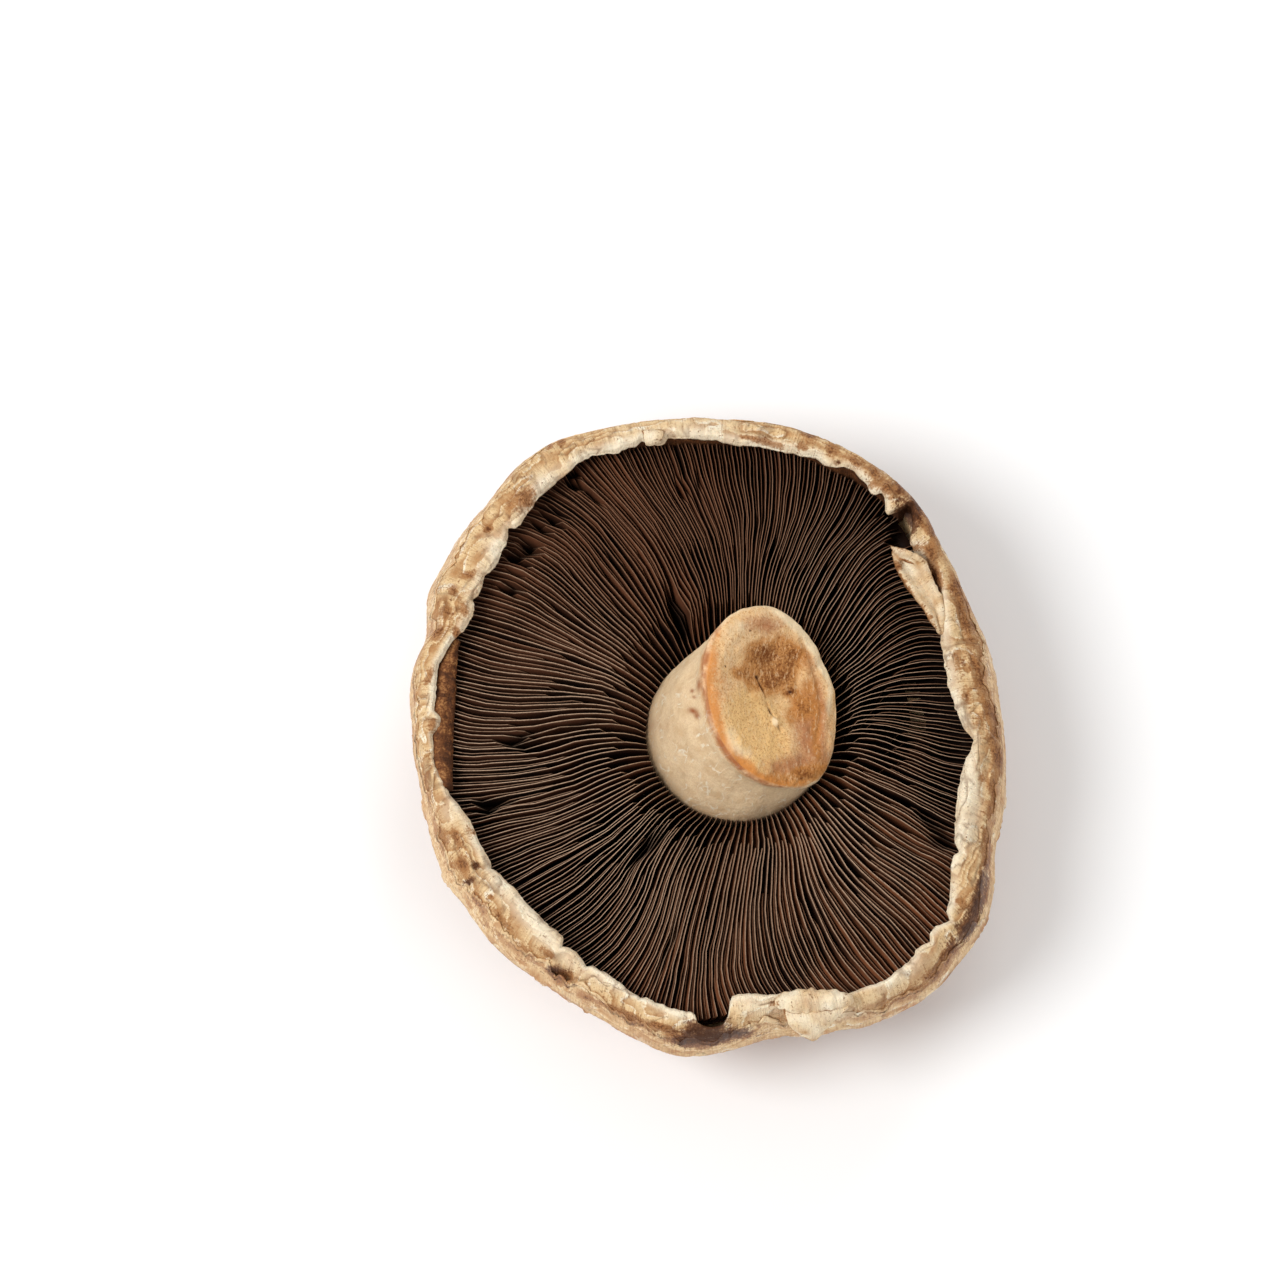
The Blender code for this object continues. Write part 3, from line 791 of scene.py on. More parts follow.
def skinMaterial():
    material, tree = newMaterial("scalySkin", skinFinish)
    place = objectPlace(tree)
    skinMap = readAttribute(tree, "skinMap", vector=True)
    along = axisOf(skinMap, "Z")
    down, border, chance = scalePattern(skinMap)
    fibre = grain(skinMap, (0.3, 0.3, 4.5), 3.0, 0.6)
    strand = grain(skinMap, (0.9, 0.9, 9.0), 2.0, 0.5)
    patch = grain(place, 6.0, 3.0, 0.6)
    fine = grain(place, 0.6, 3.0, 0.6)
    mood = weighed((grain(place, 26.0, 2.0), 0.6), (patch, 0.4))
    ground = layered(
        skinFinish, "tanDark",
        (band(mood, 0.36, 0.6), "tan"),
        (band(mood, 0.5, 0.66), "tanLight"),
        (times(band(fibre, 0.5, 0.72), 0.4), "tanDark"),
    )
    # brown tufts on a paler skin, which starts some way out from the crown
    edgeZone = stirred(along, (patch, 22.0))
    scaly = band(edgeZone, 16.0, 34.0)
    between = layered(skinFinish, ground, (band(edgeZone, 34.0, 56.0), "cream"))
    tuft = layered(
        skinFinish, "scaleBrown", (band(strand, 0.4, 0.65), "scaleDark"), (times(chance, 0.45), "tan")
    )
    scales = layered(skinFinish, tuft, (band(stirred(down, (fibre, 1.5)), 0.3, 0.95), between))
    torn = times(band(stirred(down, (fine, 0.3)), 0.18, 0.04), band(edgeZone, 28.0, 44.0))
    # painted shadow along each scale's border at its outer end, beside the next scale's raised edge
    gap = times(band(border, 0.07, 0.0), band(down, 0.55, 0.8))
    # short dark cracks between crown and scales, pale spots on the crown
    crackMap = calcVector("DIVIDE", slid(skinMap, times(fine, 1.2)), (2.6, 2.6, 1.7))
    crack = cellNoise(crackMap, 1.0, "DISTANCE_TO_EDGE")["Distance"]
    crackZone = times(band(along, -2.0, 10.0), band(edgeZone, 46.0, 26.0))
    crackZone = times(crackZone, band(grain(place, 4.0, 2.0), 0.5, 0.6))
    cracked = times(band(crack, 0.055, 0.01), crackZone)
    spots = cellNoise(place, 0.22)["Distance"]
    spotted = times(band(spots, 0.26, 0.14), band(along, 16.0, 4.0))
    # the rolled margin takes the rim's own colours
    rim, _, rimHeight = rimColour(tree, place)
    rolled = band(stirred(along, (patch, 16.0)), 49.0, 59.0)
    colour = layered(
        skinFinish, ground,
        (scaly, scales),
        (times(torn, 0.6), "torn"),
        # painted shadow between the scales
        (times(times(gap, scaly), 0.7), "crack"),
        (times(cracked, 0.85), "crack"),
        (times(spotted, 0.5), "cream"),
        (rolled, rim),
    )
    height = calc("SUBTRACT", weighed((fibre, 0.7), (fine, 0.3)), times(cracked, 1.3))
    height = calc("MULTIPLY_ADD", rolled, times(rimHeight, 0.4), height)
    return finishMaterial(material, skinFinish, colour, fibre, height)


# cap skin

skinMesh = {
    "columns": 620,
    "crownRings": 7,
    "crownBlend": 8,  # within this distance the round crown takes on the cap's outline
    "steps": [(0, 14, 1.2), (14, 30, 0.75), (30, 80, 0.46)],  # from, to, ring spacing
    "flankRings": 28,
    "flankSteps": [(0, 0), (0.35, 0.2), (0.7, 0.62), (1, 1)],  # rings crowd where the flank bends
    "floor": [(0.7, 20.6), (0.35, 18.4)],  # hidden rings that close it: share of the radius, height
    "fade": (9.0, 36.0),  # the relief grows between these distances from the crown
    "patches": [(0.45, 14.0, 6)],  # where it is stronger
    "markHeights": (25.5, 32.0),  # the rim's stains begin between these heights
}


def skinRelief():
    # Geometry Nodes: raises every scale's torn upper edge and lets it run out towards the rim
    tree, given = newTree("scaleRelief", {
        "Relief": ("Float", scaleShape["relief"] * mm),
        "Fibre relief": ("Float", scaleShape["fibreRelief"] * mm),
        "Steepness": ("Float", scaleShape["steepness"]),
    })
    skinMap = readAttribute(tree, "skinMap", vector=True)
    fade = readAttribute(tree, "scaleFade")
    down, _, chance = scalePattern(skinMap)
    slope = calc("POWER", calc("MAXIMUM", calc("SUBTRACT", 1.05, down), 0.0), given["Steepness"])
    lift = times(times(slope, fade), given["Relief"])
    lift = times(lift, calc("MULTIPLY_ADD", chance, 0.9, 0.5))
    fibre = times(centred(grain(skinMap, (1.1, 1.1, 9.0), 2.0, 0.6)), fade)
    lift = calc("ADD", lift, times(fibre, times(given["Fibre relief"], 6.0)))
    offset = calcVector("SCALE", source(tree, "Normal"), lift)
    return finishTree(tree, given, step(given["Geometry"], "SetPosition", {"Offset": offset}))


def makeSkin(material):
    columns = capColumns(skinMesh["columns"])
    angles, outline, width = (columns[k] for k in ("angles", "outline", "smoothWidth"))
    crown, flankRings = capShape["crownRadius"], skinMesh["flankRings"]
    shares = np.linspace(capShape["crownShare"], 1, 401)
    lengths = np.hypot(np.diff(shares) * capShape["meanRadius"], np.diff(domeHeight(shares)))
    run = np.concatenate([[0], np.cumsum(lengths)])
    rows, maps = [], []  # each ring's points, and its distance from the crown along the skin

    def ring(radius, height, distance):
        rows.append(polar(radius, angles, height))
        maps.append(distance + np.zeros(len(angles)))

    for k in range(1, skinMesh["crownRings"] + 1):
        radius = crown * k / (skinMesh["crownRings"] + 1)
        ring(radius, 0.0, radius - crown)
    for start, end, spacing in skinMesh["steps"]:
        for distance in np.arange(start, min(end, run[-1] - 0.2), spacing):
            share = np.interp(distance, run, shares)
            blend = ease(distance, 0, skinMesh["crownBlend"])
            radius = (1 - blend) * (crown + distance) + blend * outline * share
            ring(radius, domeHeight(share), distance)
    margin = skinMargin(columns)
    flankShares = np.interp(np.linspace(0, 1, flankRings), *zip(*skinMesh["flankSteps"]))[:, None] * margin
    flank = flankPath(columns, flankShares)
    for share, height in zip(flankShares, flank):
        last = rows[-1]
        ring(outline - share * width, height, maps[-1])
        maps[-1] = maps[-1] + np.linalg.norm(rows[-1] - last, axis=-1)
    # the skin's margin turns under, and the rest is hidden by the rim and the gills
    edge, top = outline - margin * width, flank[-1]
    under = top - rimShape["skinThickness"]
    inner = outline - columns["wall"]
    closing = [
        (edge - 0.12, top - 0.12), (edge - 0.02, under), (edge + 0.5, under - 0.8),
        (inner + 1.4, 31.0), (inner + 1.2, 26.5),
        *(((inner + 1.2) * share, height) for share, height in skinMesh["floor"]),
    ]
    for radius, height in closing:
        ring(radius, height, maps[-1])
    points, run = np.array(rows), np.array(maps)
    skinMap = polar(scaleShape["mapRadius"], angles, run)
    fade = ease(run, *skinMesh["fade"]) * lumpSum(points, skinMesh["patches"], 0.8)
    fade *= 1 - 0.55 * ease(run, 46, 58)
    rest = flankRings + len(closing)
    fade[-rest:] *= np.linspace(1, 0.45, rest)[:, None]
    fade[-len(closing):] = 0
    outside = 1 - ease(np.abs(outline - flatLength(points)) / width, 0.0, 0.5)
    above = ease(points[..., 2] + 1.6 * lumps(points, 3.0, 7), *skinMesh["markHeights"])
    marks = {name: values * above for name, values in paintRim(points, outside).items()}
    layer = tissueLayers(points, skinMap)
    attributes = {"skinMap": skinMap, "ringMap": skinMap, "scaleFade": fade, "layer": layer, **marks}
    return runTree(turnedPiece("capSkin", points, attributes, None), skinRelief(), material)


# torn rim

rimMesh = {"columns": 1240, "flankRings": 18, "crestRings": 38, "edgeRings": 5, "underRings": 8}


def rimReliefs(points, share, ringMap, degrees):
    # what is added to the height of the rim's upper side
    relief = lumpSum(points, rimShape["lumps"]) + lumpSum(ringMap, rimShape["folds"])
    relief += lumpSum(ringMap, rimShape["creases"]) * ease(share, 0.35, 0.8)
    around, across = creaseLines(points, ringMap)
    relief -= rimShape["valleys"] * (around + 0.8 * across)
    patchy = 0.35 + 0.65 * ease(lumps(points, 6.0, 68), -0.25, 0.3)
    torn = rimShape["layers"] * (tissueLayers(points, ringMap) - 0.6)
    relief += torn * patchy * (1 - 0.5 * ease(share, 0.55, 0.85))
    ends, (lip, lipPlace, lipBreadth) = rimShape["grooveEnds"], rimShape["grooveLip"]
    for first, final, middle, depth, breadth in rimShape["grooves"]:
        within = ease(degrees, first, first + ends) * ease(degrees, final, final - ends)
        off = share - (middle + 0.10 * lumps(ringMap, (6.0, 6.0, 200.0), 43))
        relief -= depth * within * np.exp(-((off * 2 / breadth / 0.5) ** 2))
        relief += lip * depth * within * np.exp(-(((off - lipPlace) / lipBreadth) ** 2))
    for far, off, _, depth in ovals(points, rimShape["pits"]):
        relief -= depth * np.exp(-((far**2 + off**2) ** 2))
    return relief


def makeRim(material):
    columns = capColumns(rimMesh["columns"])
    angles, outline, evenWidth = (columns[k] for k in ("angles", "outline", "smoothWidth"))
    edgeRings, underRings = rimMesh["edgeRings"], rimMesh["underRings"]
    around = polar(56.0, angles, 0.0)
    width = columns["width"] + lumpSum(around, rimShape["ragged"])
    flankShares = np.linspace(0.1, 0.5, rimMesh["flankRings"])[:-1, None] * np.ones(len(angles))
    crest = openCurve(rimShape["crest"], rimMesh["crestRings"])
    shares = np.concatenate([flankShares, crest[:, :1] + np.zeros(len(angles))])
    heights = np.concatenate([flankPath(columns, flankShares), columns["top"] + crest[:, 1:]])
    # the outer part follows the even width, the inner part the torn one
    blend = ease(shares, 0.35, 0.85)
    points = polar(outline - shares * ((1 - blend) * evenWidth + blend * width), angles, heights)
    relief = rimReliefs(points, shares, polar(60.0, angles, flatLength(points)), np.degrees(angles))
    margin = skinMargin(columns)
    exposed = ease(shares, margin - 0.05, margin + 0.06)
    points[..., 2] += relief * exposed * (0.4 + 0.6 * ease(width, *rimShape["calmWidths"]))
    points[..., 2] -= (rimShape["skinThickness"] + 0.25) * (1 - exposed)
    # the torn edge is rounded, and runs back under itself to the wall
    radius, height = flatLength(points[-1]), points[-1][:, 2]
    thick = rimShape["edge"] * lumpSum(around, rimShape["edgeLumps"], 0.85)
    bulge, back = rimShape["edgeBulge"]
    rows = list(points)
    for k in range(1, edgeRings + 1):
        t = math.pi * k / edgeRings
        place = radius - bulge * math.sin(t) + back * k / edgeRings
        rows.append(polar(place, angles, height - thick * (1 - math.cos(t)) / 2))
    start, low = radius + back, height - thick
    inwards = np.maximum(outline - columns["wall"] - 0.25, start) - start
    for t in np.arange(1, underRings + 1) / underRings:
        fall = (rimShape["wallTop"] - low) * t**1.5 * ease(inwards, 0, 0.3)
        rows.append(polar(start + inwards * ease(t, 0, 1), angles, low + fall - 0.2 * t))
    # rings that nobody sees: down the wall, out to the skin and up under it
    inside, foot = flatLength(rows[-1]), np.minimum(rows[-1][:, 2] - 0.4, 31.5)
    hidden = [
        (inside, foot), (inside + 0.05, 29.5), (inside + 0.1, 27.2),
        (outline - 1.2, 27.0), (outline - 1.0 - 0.12 * evenWidth, 30.0),
    ]
    points = np.array(rows + [polar(radius, angles, height) for radius, height in hidden])
    radius = flatLength(points)
    marks = paintRim(points, np.clip(1 - (outline - radius) / evenWidth, 0, 1))
    # painted shade on the wall under the lip, brown and burnt, and a painted highlight along the torn edge
    # above it
    crestEnd = len(shares)
    edgeEnd = crestEnd + edgeRings
    under, inner = np.zeros(radius.shape), np.zeros(radius.shape)
    under[edgeEnd - 3:edgeEnd] = np.array([0.2, 0.5, 0.8])[:, None]
    under[edgeEnd:] = 1.0
    marks["brown"] = np.clip(marks["brown"] + 0.9 * under, 0, 1)
    marks["burnt"] = np.clip(marks["burnt"] + 0.8 * under, 0, 1)
    inner[:crestEnd] = ease(shares, 0.7, 0.98)
    inner[crestEnd:edgeEnd - 2] = 1.0
    bright = marks["bright"] + inner * (0.75 + 0.5 * lumps(points, 3.0, 69))
    marks["bright"] = np.clip(bright, 0, 1) * (1 - marks["burnt"])
    ringMap = polar(60.0, angles, radius)
    # the valleys' bottoms, used for painted shade
    around, across = creaseLines(points, ringMap)
    creaseShade = np.maximum(around, 0.8 * across)
    creaseShade[crestEnd:] *= 0.3
    attributes = {"ringMap": ringMap, "creaseShade": creaseShade, "layer": tissueLayers(points, ringMap), **marks}
    return newPiece("tornRim", points, ringFaces(*radius.shape, loop=True), attributes, material)


# torn flaps, tabs and the ledge

# Nets of picture points with a height; the first row lies on the rim's outer side
flaps = {
    "rightFlap": {
        "thickness": 0.7, "rows": 34, "columns": 110, "ragged": 0.22, "ribs": (0.05, 0.6),
        "stain": 1.0,  # brown along its torn inner edge
        "net": [
            [(944, 634, 35.6), (944, 622, 36.0), (944, 611, 36.3), (943, 600, 36.6), (938, 590, 36.9),
             (932, 578, 37.2), (929, 568, 37.6), (926, 560, 38.2)],
            [(942, 634, 36.3), (941, 622, 36.7), (941, 611, 37.0), (939, 600, 37.3), (934, 590, 37.6),
             (928, 579, 37.9), (924, 568, 38.3), (920, 558, 38.8)],
            [(941, 634, 36.2), (939, 622, 35.9), (936, 611, 35.7), (932, 600, 35.8), (926, 590, 36.0),
             (918, 579, 36.3), (911, 567, 36.9), (906, 554, 38.6)],
            [(940, 633, 36.3), (936, 622, 36.2), (931, 611, 36.1), (925, 600, 36.2), (918, 590, 36.4),
             (910, 579, 36.7), (902, 566, 37.2), (897, 551, 38.4)],
            [(940, 633, 36.8), (933, 621, 37.4), (927, 610, 37.5), (920, 600, 37.6), (913, 590, 37.7),
             (905, 579, 37.9), (898, 566, 38.1), (893, 549, 38.5)],
            [(941, 634, 35.8), (932, 622, 36.0), (925, 611, 36.1), (918, 601, 36.2), (911, 591, 36.3),
             (903, 580, 36.5), (896, 567, 36.8), (891, 550, 37.5)],
        ],
    },
    "flapTip": {
        "thickness": 0.5, "rows": 14, "columns": 60, "ragged": 0.25, "ribs": (0.06, 0.7),
        "net": [
            [(890, 547, 38.0), (899, 548, 38.8), (908, 550, 39.1), (917, 554, 38.9), (926, 559, 38.0)],
            [(892, 550, 39.0), (900, 551, 39.9), (909, 553, 40.1), (917, 557, 39.8), (925, 562, 38.8)],
            [(894, 556, 38.2), (901, 556, 38.8), (909, 558, 39.0), (916, 561, 38.7), (923, 566, 38.0)],
            [(895, 561, 38.0), (902, 560, 38.3), (909, 562, 38.4), (915, 565, 38.1), (921, 570, 37.4)],
        ],
    },
    "bottomRoll": {
        "thickness": 0.9, "rows": 30, "columns": 130, "ragged": 0.16, "ribs": (0.24, 0.85),
        "net": [
            [(772, 1006, 36.2), (787, 1010.5, 36.6), (803, 1012, 36.7), (820, 1011.5, 36.7),
             (836, 1008, 36.7), (848, 1003, 36.5), (852, 1000, 36.2)],
            [(773, 1004, 37.0), (787, 1006, 38.0), (803, 1007, 38.3), (820, 1006.5, 38.3),
             (836, 1004, 38.1), (847, 1001, 37.6), (852, 999.5, 36.7)],
            [(774, 1001, 37.4), (787, 1000, 38.7), (803, 999.5, 39.1), (820, 999.5, 39.1), (835, 999, 38.8),
             (846, 998.5, 38.0), (851, 998, 36.9)],
            [(776, 998, 37.2), (788, 995.5, 38.3), (803, 994, 38.6), (820, 993.5, 38.6), (834, 994, 38.3),
             (844, 996, 37.6), (849, 997, 36.8)],
            [(777, 996, 36.3), (789, 992.5, 37.0), (803, 991, 37.2), (820, 990.5, 37.2), (833, 991.5, 37.0),
             (842, 994, 36.6), (848, 996.5, 36.3)],
        ],
    },
    "bottomTongue": {
        "thickness": 0.6, "rows": 40, "columns": 72, "ragged": 0.14, "ribs": (0.03, 1.2),
        "net": [
            [(806, 1038, 31.0), (809.5, 1040, 30.8), (813, 1040.5, 30.8), (816.5, 1040, 30.9),
             (820, 1037, 31.2)],
            [(795, 1031, 33.6), (804, 1032, 33.9), (812, 1032.5, 34.0), (820, 1031.5, 33.9),
             (827, 1028, 33.7)],
            [(788, 1025, 35.2), (800, 1024.5, 36.1), (812, 1024, 36.3), (825, 1022, 36.2),
             (837, 1018, 35.6)],
            [(785.5, 1018, 36.1), (799, 1017, 36.9), (813, 1016.5, 37.1), (829, 1014.5, 37.0),
             (846, 1011, 36.4)],
            [(784, 1012, 36.2), (799, 1012, 36.9), (814, 1012, 37.0), (831, 1010, 37.0), (851, 1005, 36.6)],
            [(783, 1006, 36.0), (799, 1007, 36.3), (815, 1007, 36.4), (833, 1005, 36.4), (852, 1000, 36.2)],
        ],
    },
    "topTab": {
        "thickness": 0.7, "rows": 20, "columns": 34, "ragged": 0.22, "ribs": (0.08, 0.7),
        "net": [
            [(643, 431, 36.6), (650, 430, 37.1), (657, 430, 37.1), (664, 431, 36.6)],
            [(643.5, 436, 37.2), (650, 436, 37.9), (657, 436, 37.9), (663.5, 436, 37.2)],
            [(645, 441, 36.9), (650, 442, 37.5), (656, 442, 37.5), (661.5, 440.5, 36.9)],
            [(647, 444.5, 35.6), (651, 445.5, 36.0), (656, 445.5, 36.0), (660, 443.5, 35.6)],
        ],
    },
    "leftLedge": {
        "thickness": 1.6, "rows": 18, "columns": 150, "ragged": 0.1, "ribs": (0.07, 0.8),
        "shadedUnderRim": True,  # under the rim: brown all over, with painted shade darkening it towards the gills
        "net": [
            [(455, 638, 33.8), (446.5, 654, 33.8), (439, 673, 33.6), (435.5, 695, 33.4), (433.5, 718, 33.2),
             (433, 742, 33.2), (435, 765, 33.4), (441, 790, 33.8)],
            [(455.8, 638.5, 34.4), (449, 655, 34.5), (443, 674, 34.5), (440, 696, 34.4), (438, 718, 34.3),
             (437.5, 742, 34.3), (439, 765, 34.4), (444, 790, 34.5)],
            [(456.5, 639, 34.2), (452, 656, 34.1), (448.5, 675, 33.9), (446.5, 697, 33.7), (445, 718, 33.6),
             (444, 742, 33.6), (445, 765, 33.8), (447.5, 790, 34.0)],
            [(457, 640, 33.2), (456, 657, 32.7), (455.5, 676, 32.5), (455, 697, 32.3), (454, 718, 32.2),
             (453, 742, 32.2), (452.5, 765, 32.4), (452.5, 790, 33.0)],
        ],
    },
}
flapLumps = [(0.22, 2.2, 74), (0.10, 0.8, 75), (0.05, 0.4, 76)]


def makeFlap(name, shape, material):
    rows, columns = shape["rows"], shape["columns"]
    fine = openCurve(shape["net"], rows)
    fine = np.swapaxes(openCurve(np.swapaxes(fine, 0, 1), columns), 0, 1)
    middle = fromPicture(fine[..., 0], fine[..., 1], fine[..., 2])
    normal = np.cross(np.gradient(middle, axis=1), np.gradient(middle, axis=0))
    normal /= np.maximum(np.linalg.norm(normal, axis=-1, keepdims=True), 1e-9)
    if normal[..., 2].mean() < 0:
        normal = -normal
    # steps to the nearest border
    steps = (np.minimum(np.arange(n), np.arange(n)[::-1]) for n in (columns, rows))
    border = np.minimum(*np.meshgrid(*steps))
    middle = middle + shape["ragged"] * drifted(middle, 1.1, 71) * ease(3 - border, 0, 2)[..., None]
    depth, period = shape["ribs"]
    run = np.cumsum(np.linalg.norm(np.diff(middle, axis=1, prepend=middle[:, :1]), axis=-1), axis=1)
    ribs = depth * lumps(np.stack([run, 0.35 * run[::-1], 0 * run], axis=-1), (period, 9.0, 1.0), 78)
    middle = middle + normal * (lumpSum(middle, flapLumps) + ribs)[..., None]
    thick = shape["thickness"] * (0.25 + 0.75 * ease(border, 0, 3)) * (1 + 0.25 * lumps(middle, 2.5, 77))
    top, bottom = middle + normal * thick[..., None] / 2, middle - normal * thick[..., None] / 2
    coarse, fineNoise = rimNoise(middle)
    inward, none = np.linspace(0, 1, rows)[:, None] * np.ones(columns), np.zeros((rows, columns))
    if shape.get("shadedUnderRim"):
        # painted shade under the rim, darker towards the gills
        burnt = 0.42 + 0.35 * ease(inward, 0.35, 0.75) + 0.4 * fineNoise + 0.3 * coarse
        brown, bright = 0.9 + 0.2 * coarse + 0.2 * fineNoise, none
    else:
        marks = paintRim(middle, none)
        stain = shape.get("stain", 0.0) * ease(inward + 0.12 * coarse, 0.72, 0.95) * (0.7 + 0.6 * fineNoise)
        brown = marks["brown"] * 0.45 + 0.85 * ease(4 - border, 0, 3) * (0.5 + coarse) + stain
        bright = np.clip(np.maximum(marks["bright"], 0.45 + 0.7 * coarse), 0, 1)
        bright = bright * (1 - 0.8 * np.clip(stain, 0, 1))
        burnt = marks["burnt"] * 0.1
    angle = np.arctan2(middle[..., 1], middle[..., 0])
    attributes = {
        "ringMap": polar(60, angle, flatLength(middle)), "layer": 0.55 + 0.4 * coarse,
        "brown": np.clip(brown, 0, 1), "burnt": np.clip(burnt, 0, 1), "bright": bright,
    }
    # rows run inwards, so columns must run anticlockwise for the faces to point up
    if np.cross(middle[0, -1, :2] - middle[0, 0, :2], middle[-1, 0, :2] - middle[0, 0, :2]) < 0:
        top, bottom = top[:, ::-1], bottom[:, ::-1]
        attributes = {label: values[:, ::-1] for label, values in attributes.items()}
    return slabPiece(name, top, bottom, attributes, material)


# gills

gillShape = {
    "count": 416,  # every fourth one reaches the stem
    "stations": 15,
    "long": (0.04, 0.14),  # where the second longest start, as a share of the way out
    "short": (0.2, 0.55),
    "stemRadius": 17.0,
    "edgeHeight": 32.8,
    "dive": (7.6, 0.3, 2.2),  # beside the stem: how far, up to which share, how sharply
    "fall": (0.9, 0.55),  # beside the rim: how far, and from which share
    "wave": [(0.4, 6.0, 83), (0.16, 2.2, 84)],
    "bow": [(0.45, 9.0, 81), (0.24, 4.0, 82)],  # how the gills swing aside
    "crowding": 0.06,  # they stand closer at the top and the bottom than at the sides
    "endCrowding": 0.05,  # and their stations closer at both ends
    "sweeps": [(0.08, 2, 0.6, 1), (0.03, 5, 2.0, 2)],  # radians, waves round, phase, half waves along
    "lean": [  # degrees round, and how far the edges tip anticlockwise of their roots
        (0, -16), (45, -11), (75, -6), (100, -6), (135, -8), (160, -2), (180, 2), (205, 4), (225, 8),
        (250, 14), (270, 17), (300, 14), (320, 8), (335, -4),
    ],
    "edgeShade": [  # degrees round, and how dark the edges are: painted shade on the sides away from the light
        (0, 0.4), (45, 0.55), (90, 0.95), (125, 0.9), (155, 0.4), (180, 0.2), (225, 0.2), (270, 0.65),
        (315, 0.35), (345, 0.35),
    ],
    # degrees round, and how much painted light warms the flanks that face the light
    "litFlank": [(0, 0.1), (60, 0.3), (90, 0.55), (180, 0.2), (230, 0.4), (270, 0.8), (320, 1.0), (350, 0.3)],
    "shorter": (0.6, 0.45),  # every other one: how much lower, and how much more painted shade on its edge
    "edgeThickness": 0.1,
    "rootThickness": 0.42,
    "ripple": 0.35,
    "bed": 0.5,
    "gap": 0.45,
    "least": 0.25,  # height that is left of a gill where it is torn or begins
    "hook": (0.12, 2.2),  # length and sharpness of a short gill's rounded start
    "clump": 0.2,  # how far neighbours lean together
    "aside": 0.07,  # how far each one strays by itself, sideways and in height
    "uneven": 0.10,
    "tones": 0.22,  # how much they differ in darkness
    "ragged": 1.1,  # how far a tear jumps from gill to gill
    "partings": [  # where gills part: picture point, half length, reach, turn, how far
        (679, 606, 26, 14, 68, 1.2), (684, 491, 9, 5, 155, 0.5), (640, 850, 24, 7, -42, 0.7),
        (668, 945, 34, 6, -60, 0.5), (945, 838, 20, 7, -35, 0.6), (560, 730, 26, 6, 0, 0.5),
        (528, 545, 20, 7, -50, 0.5),
    ],
    "bites": [  # torn places: picture point, length, width, turn, depth
        (572, 478, 9, 5, 40, 6.0), (586, 488, 8, 4, 20, 5.0), (597, 497, 8, 3.5, 10, 4.5),
        (548, 520, 14, 4, 30, 6.0), (530, 540, 13, 4, 55, 6.0), (514, 562, 12, 4, 60, 6.0),
        (508, 590, 4, 8, 0, 4.5), (684, 491, 8, 3, 25, 4.0), (903, 532, 18, 9, 70, 6.0),
        (890, 512, 8, 6, 0, 3.0), (697, 485, 6, 3, 25, 2.0), (668, 592, 4, 10, 0, 3.0),
        (680, 618, 9, 26, 20, 2.4), (518, 740, 14, 7, -10, 5.0), (487, 806, 8, 8, 0, 6.0),
        (499, 800, 10, 4, 0, 3.0), (640, 852, 5, 16, -35, 3.0), (655, 838, 10, 18, -35, 2.2),
        (664, 960, 5, 18, -20, 1.5), (676, 930, 4, 18, -20, 1.5), (940, 835, 18, 12, -40, 2.4),
        (925, 815, 12, 6, -40, 1.8), (520, 700, 10, 3, 0, 1.5), (574, 725, 20, 5, 0, 1.5),
        (712, 992, 6, 12, 0, 1.2), (590, 520, 6, 3, 0, 1.5), (598, 572, 4, 3, 0, 1.2),
        (762, 520, 5, 2.5, 60, 1.5), (905, 845, 20, 8, -40, 1.2),
    ],
}
gillFinish = {
    # painted shade, darkest low between the gills
    "deep": tint(40, 23, 15),
    # painted shade where the gills are torn
    "tearShade": tint(26, 15, 10),
    "flank": tint(88, 56, 42),
    # painted light on the flanks that face the light
    "litFlank": tint(146, 90, 58),
    # the pale free edge, partly its own colour and partly painted highlight
    "edge": tint(204, 174, 146),
    # the edge's colour in painted shade
    "shadedEdge": tint(122, 84, 60),
    "roughness": (0.5, 0.75),
    "bump": 0.08,
    "surface": {"Specular IOR Level": 0.12},
}


def spread(share, angle, columns, clear):
    # a place between the stem's foot (0) and the rim's wall (1)
    outwards = np.stack([np.cos(angle), np.sin(angle)], -1)
    near = np.array(capShape["stemFoot"]) + outwards * gillShape["stemRadius"]
    reach = np.interp(angle, columns["angles"], columns["outline"] - columns["wall"], period=turn) - clear
    return near + (outwards * reach[..., None] - near) * np.asarray(share)[..., None]


def floorHeight(share):
    low, more = capShape["floor"]
    return low + more * share**3


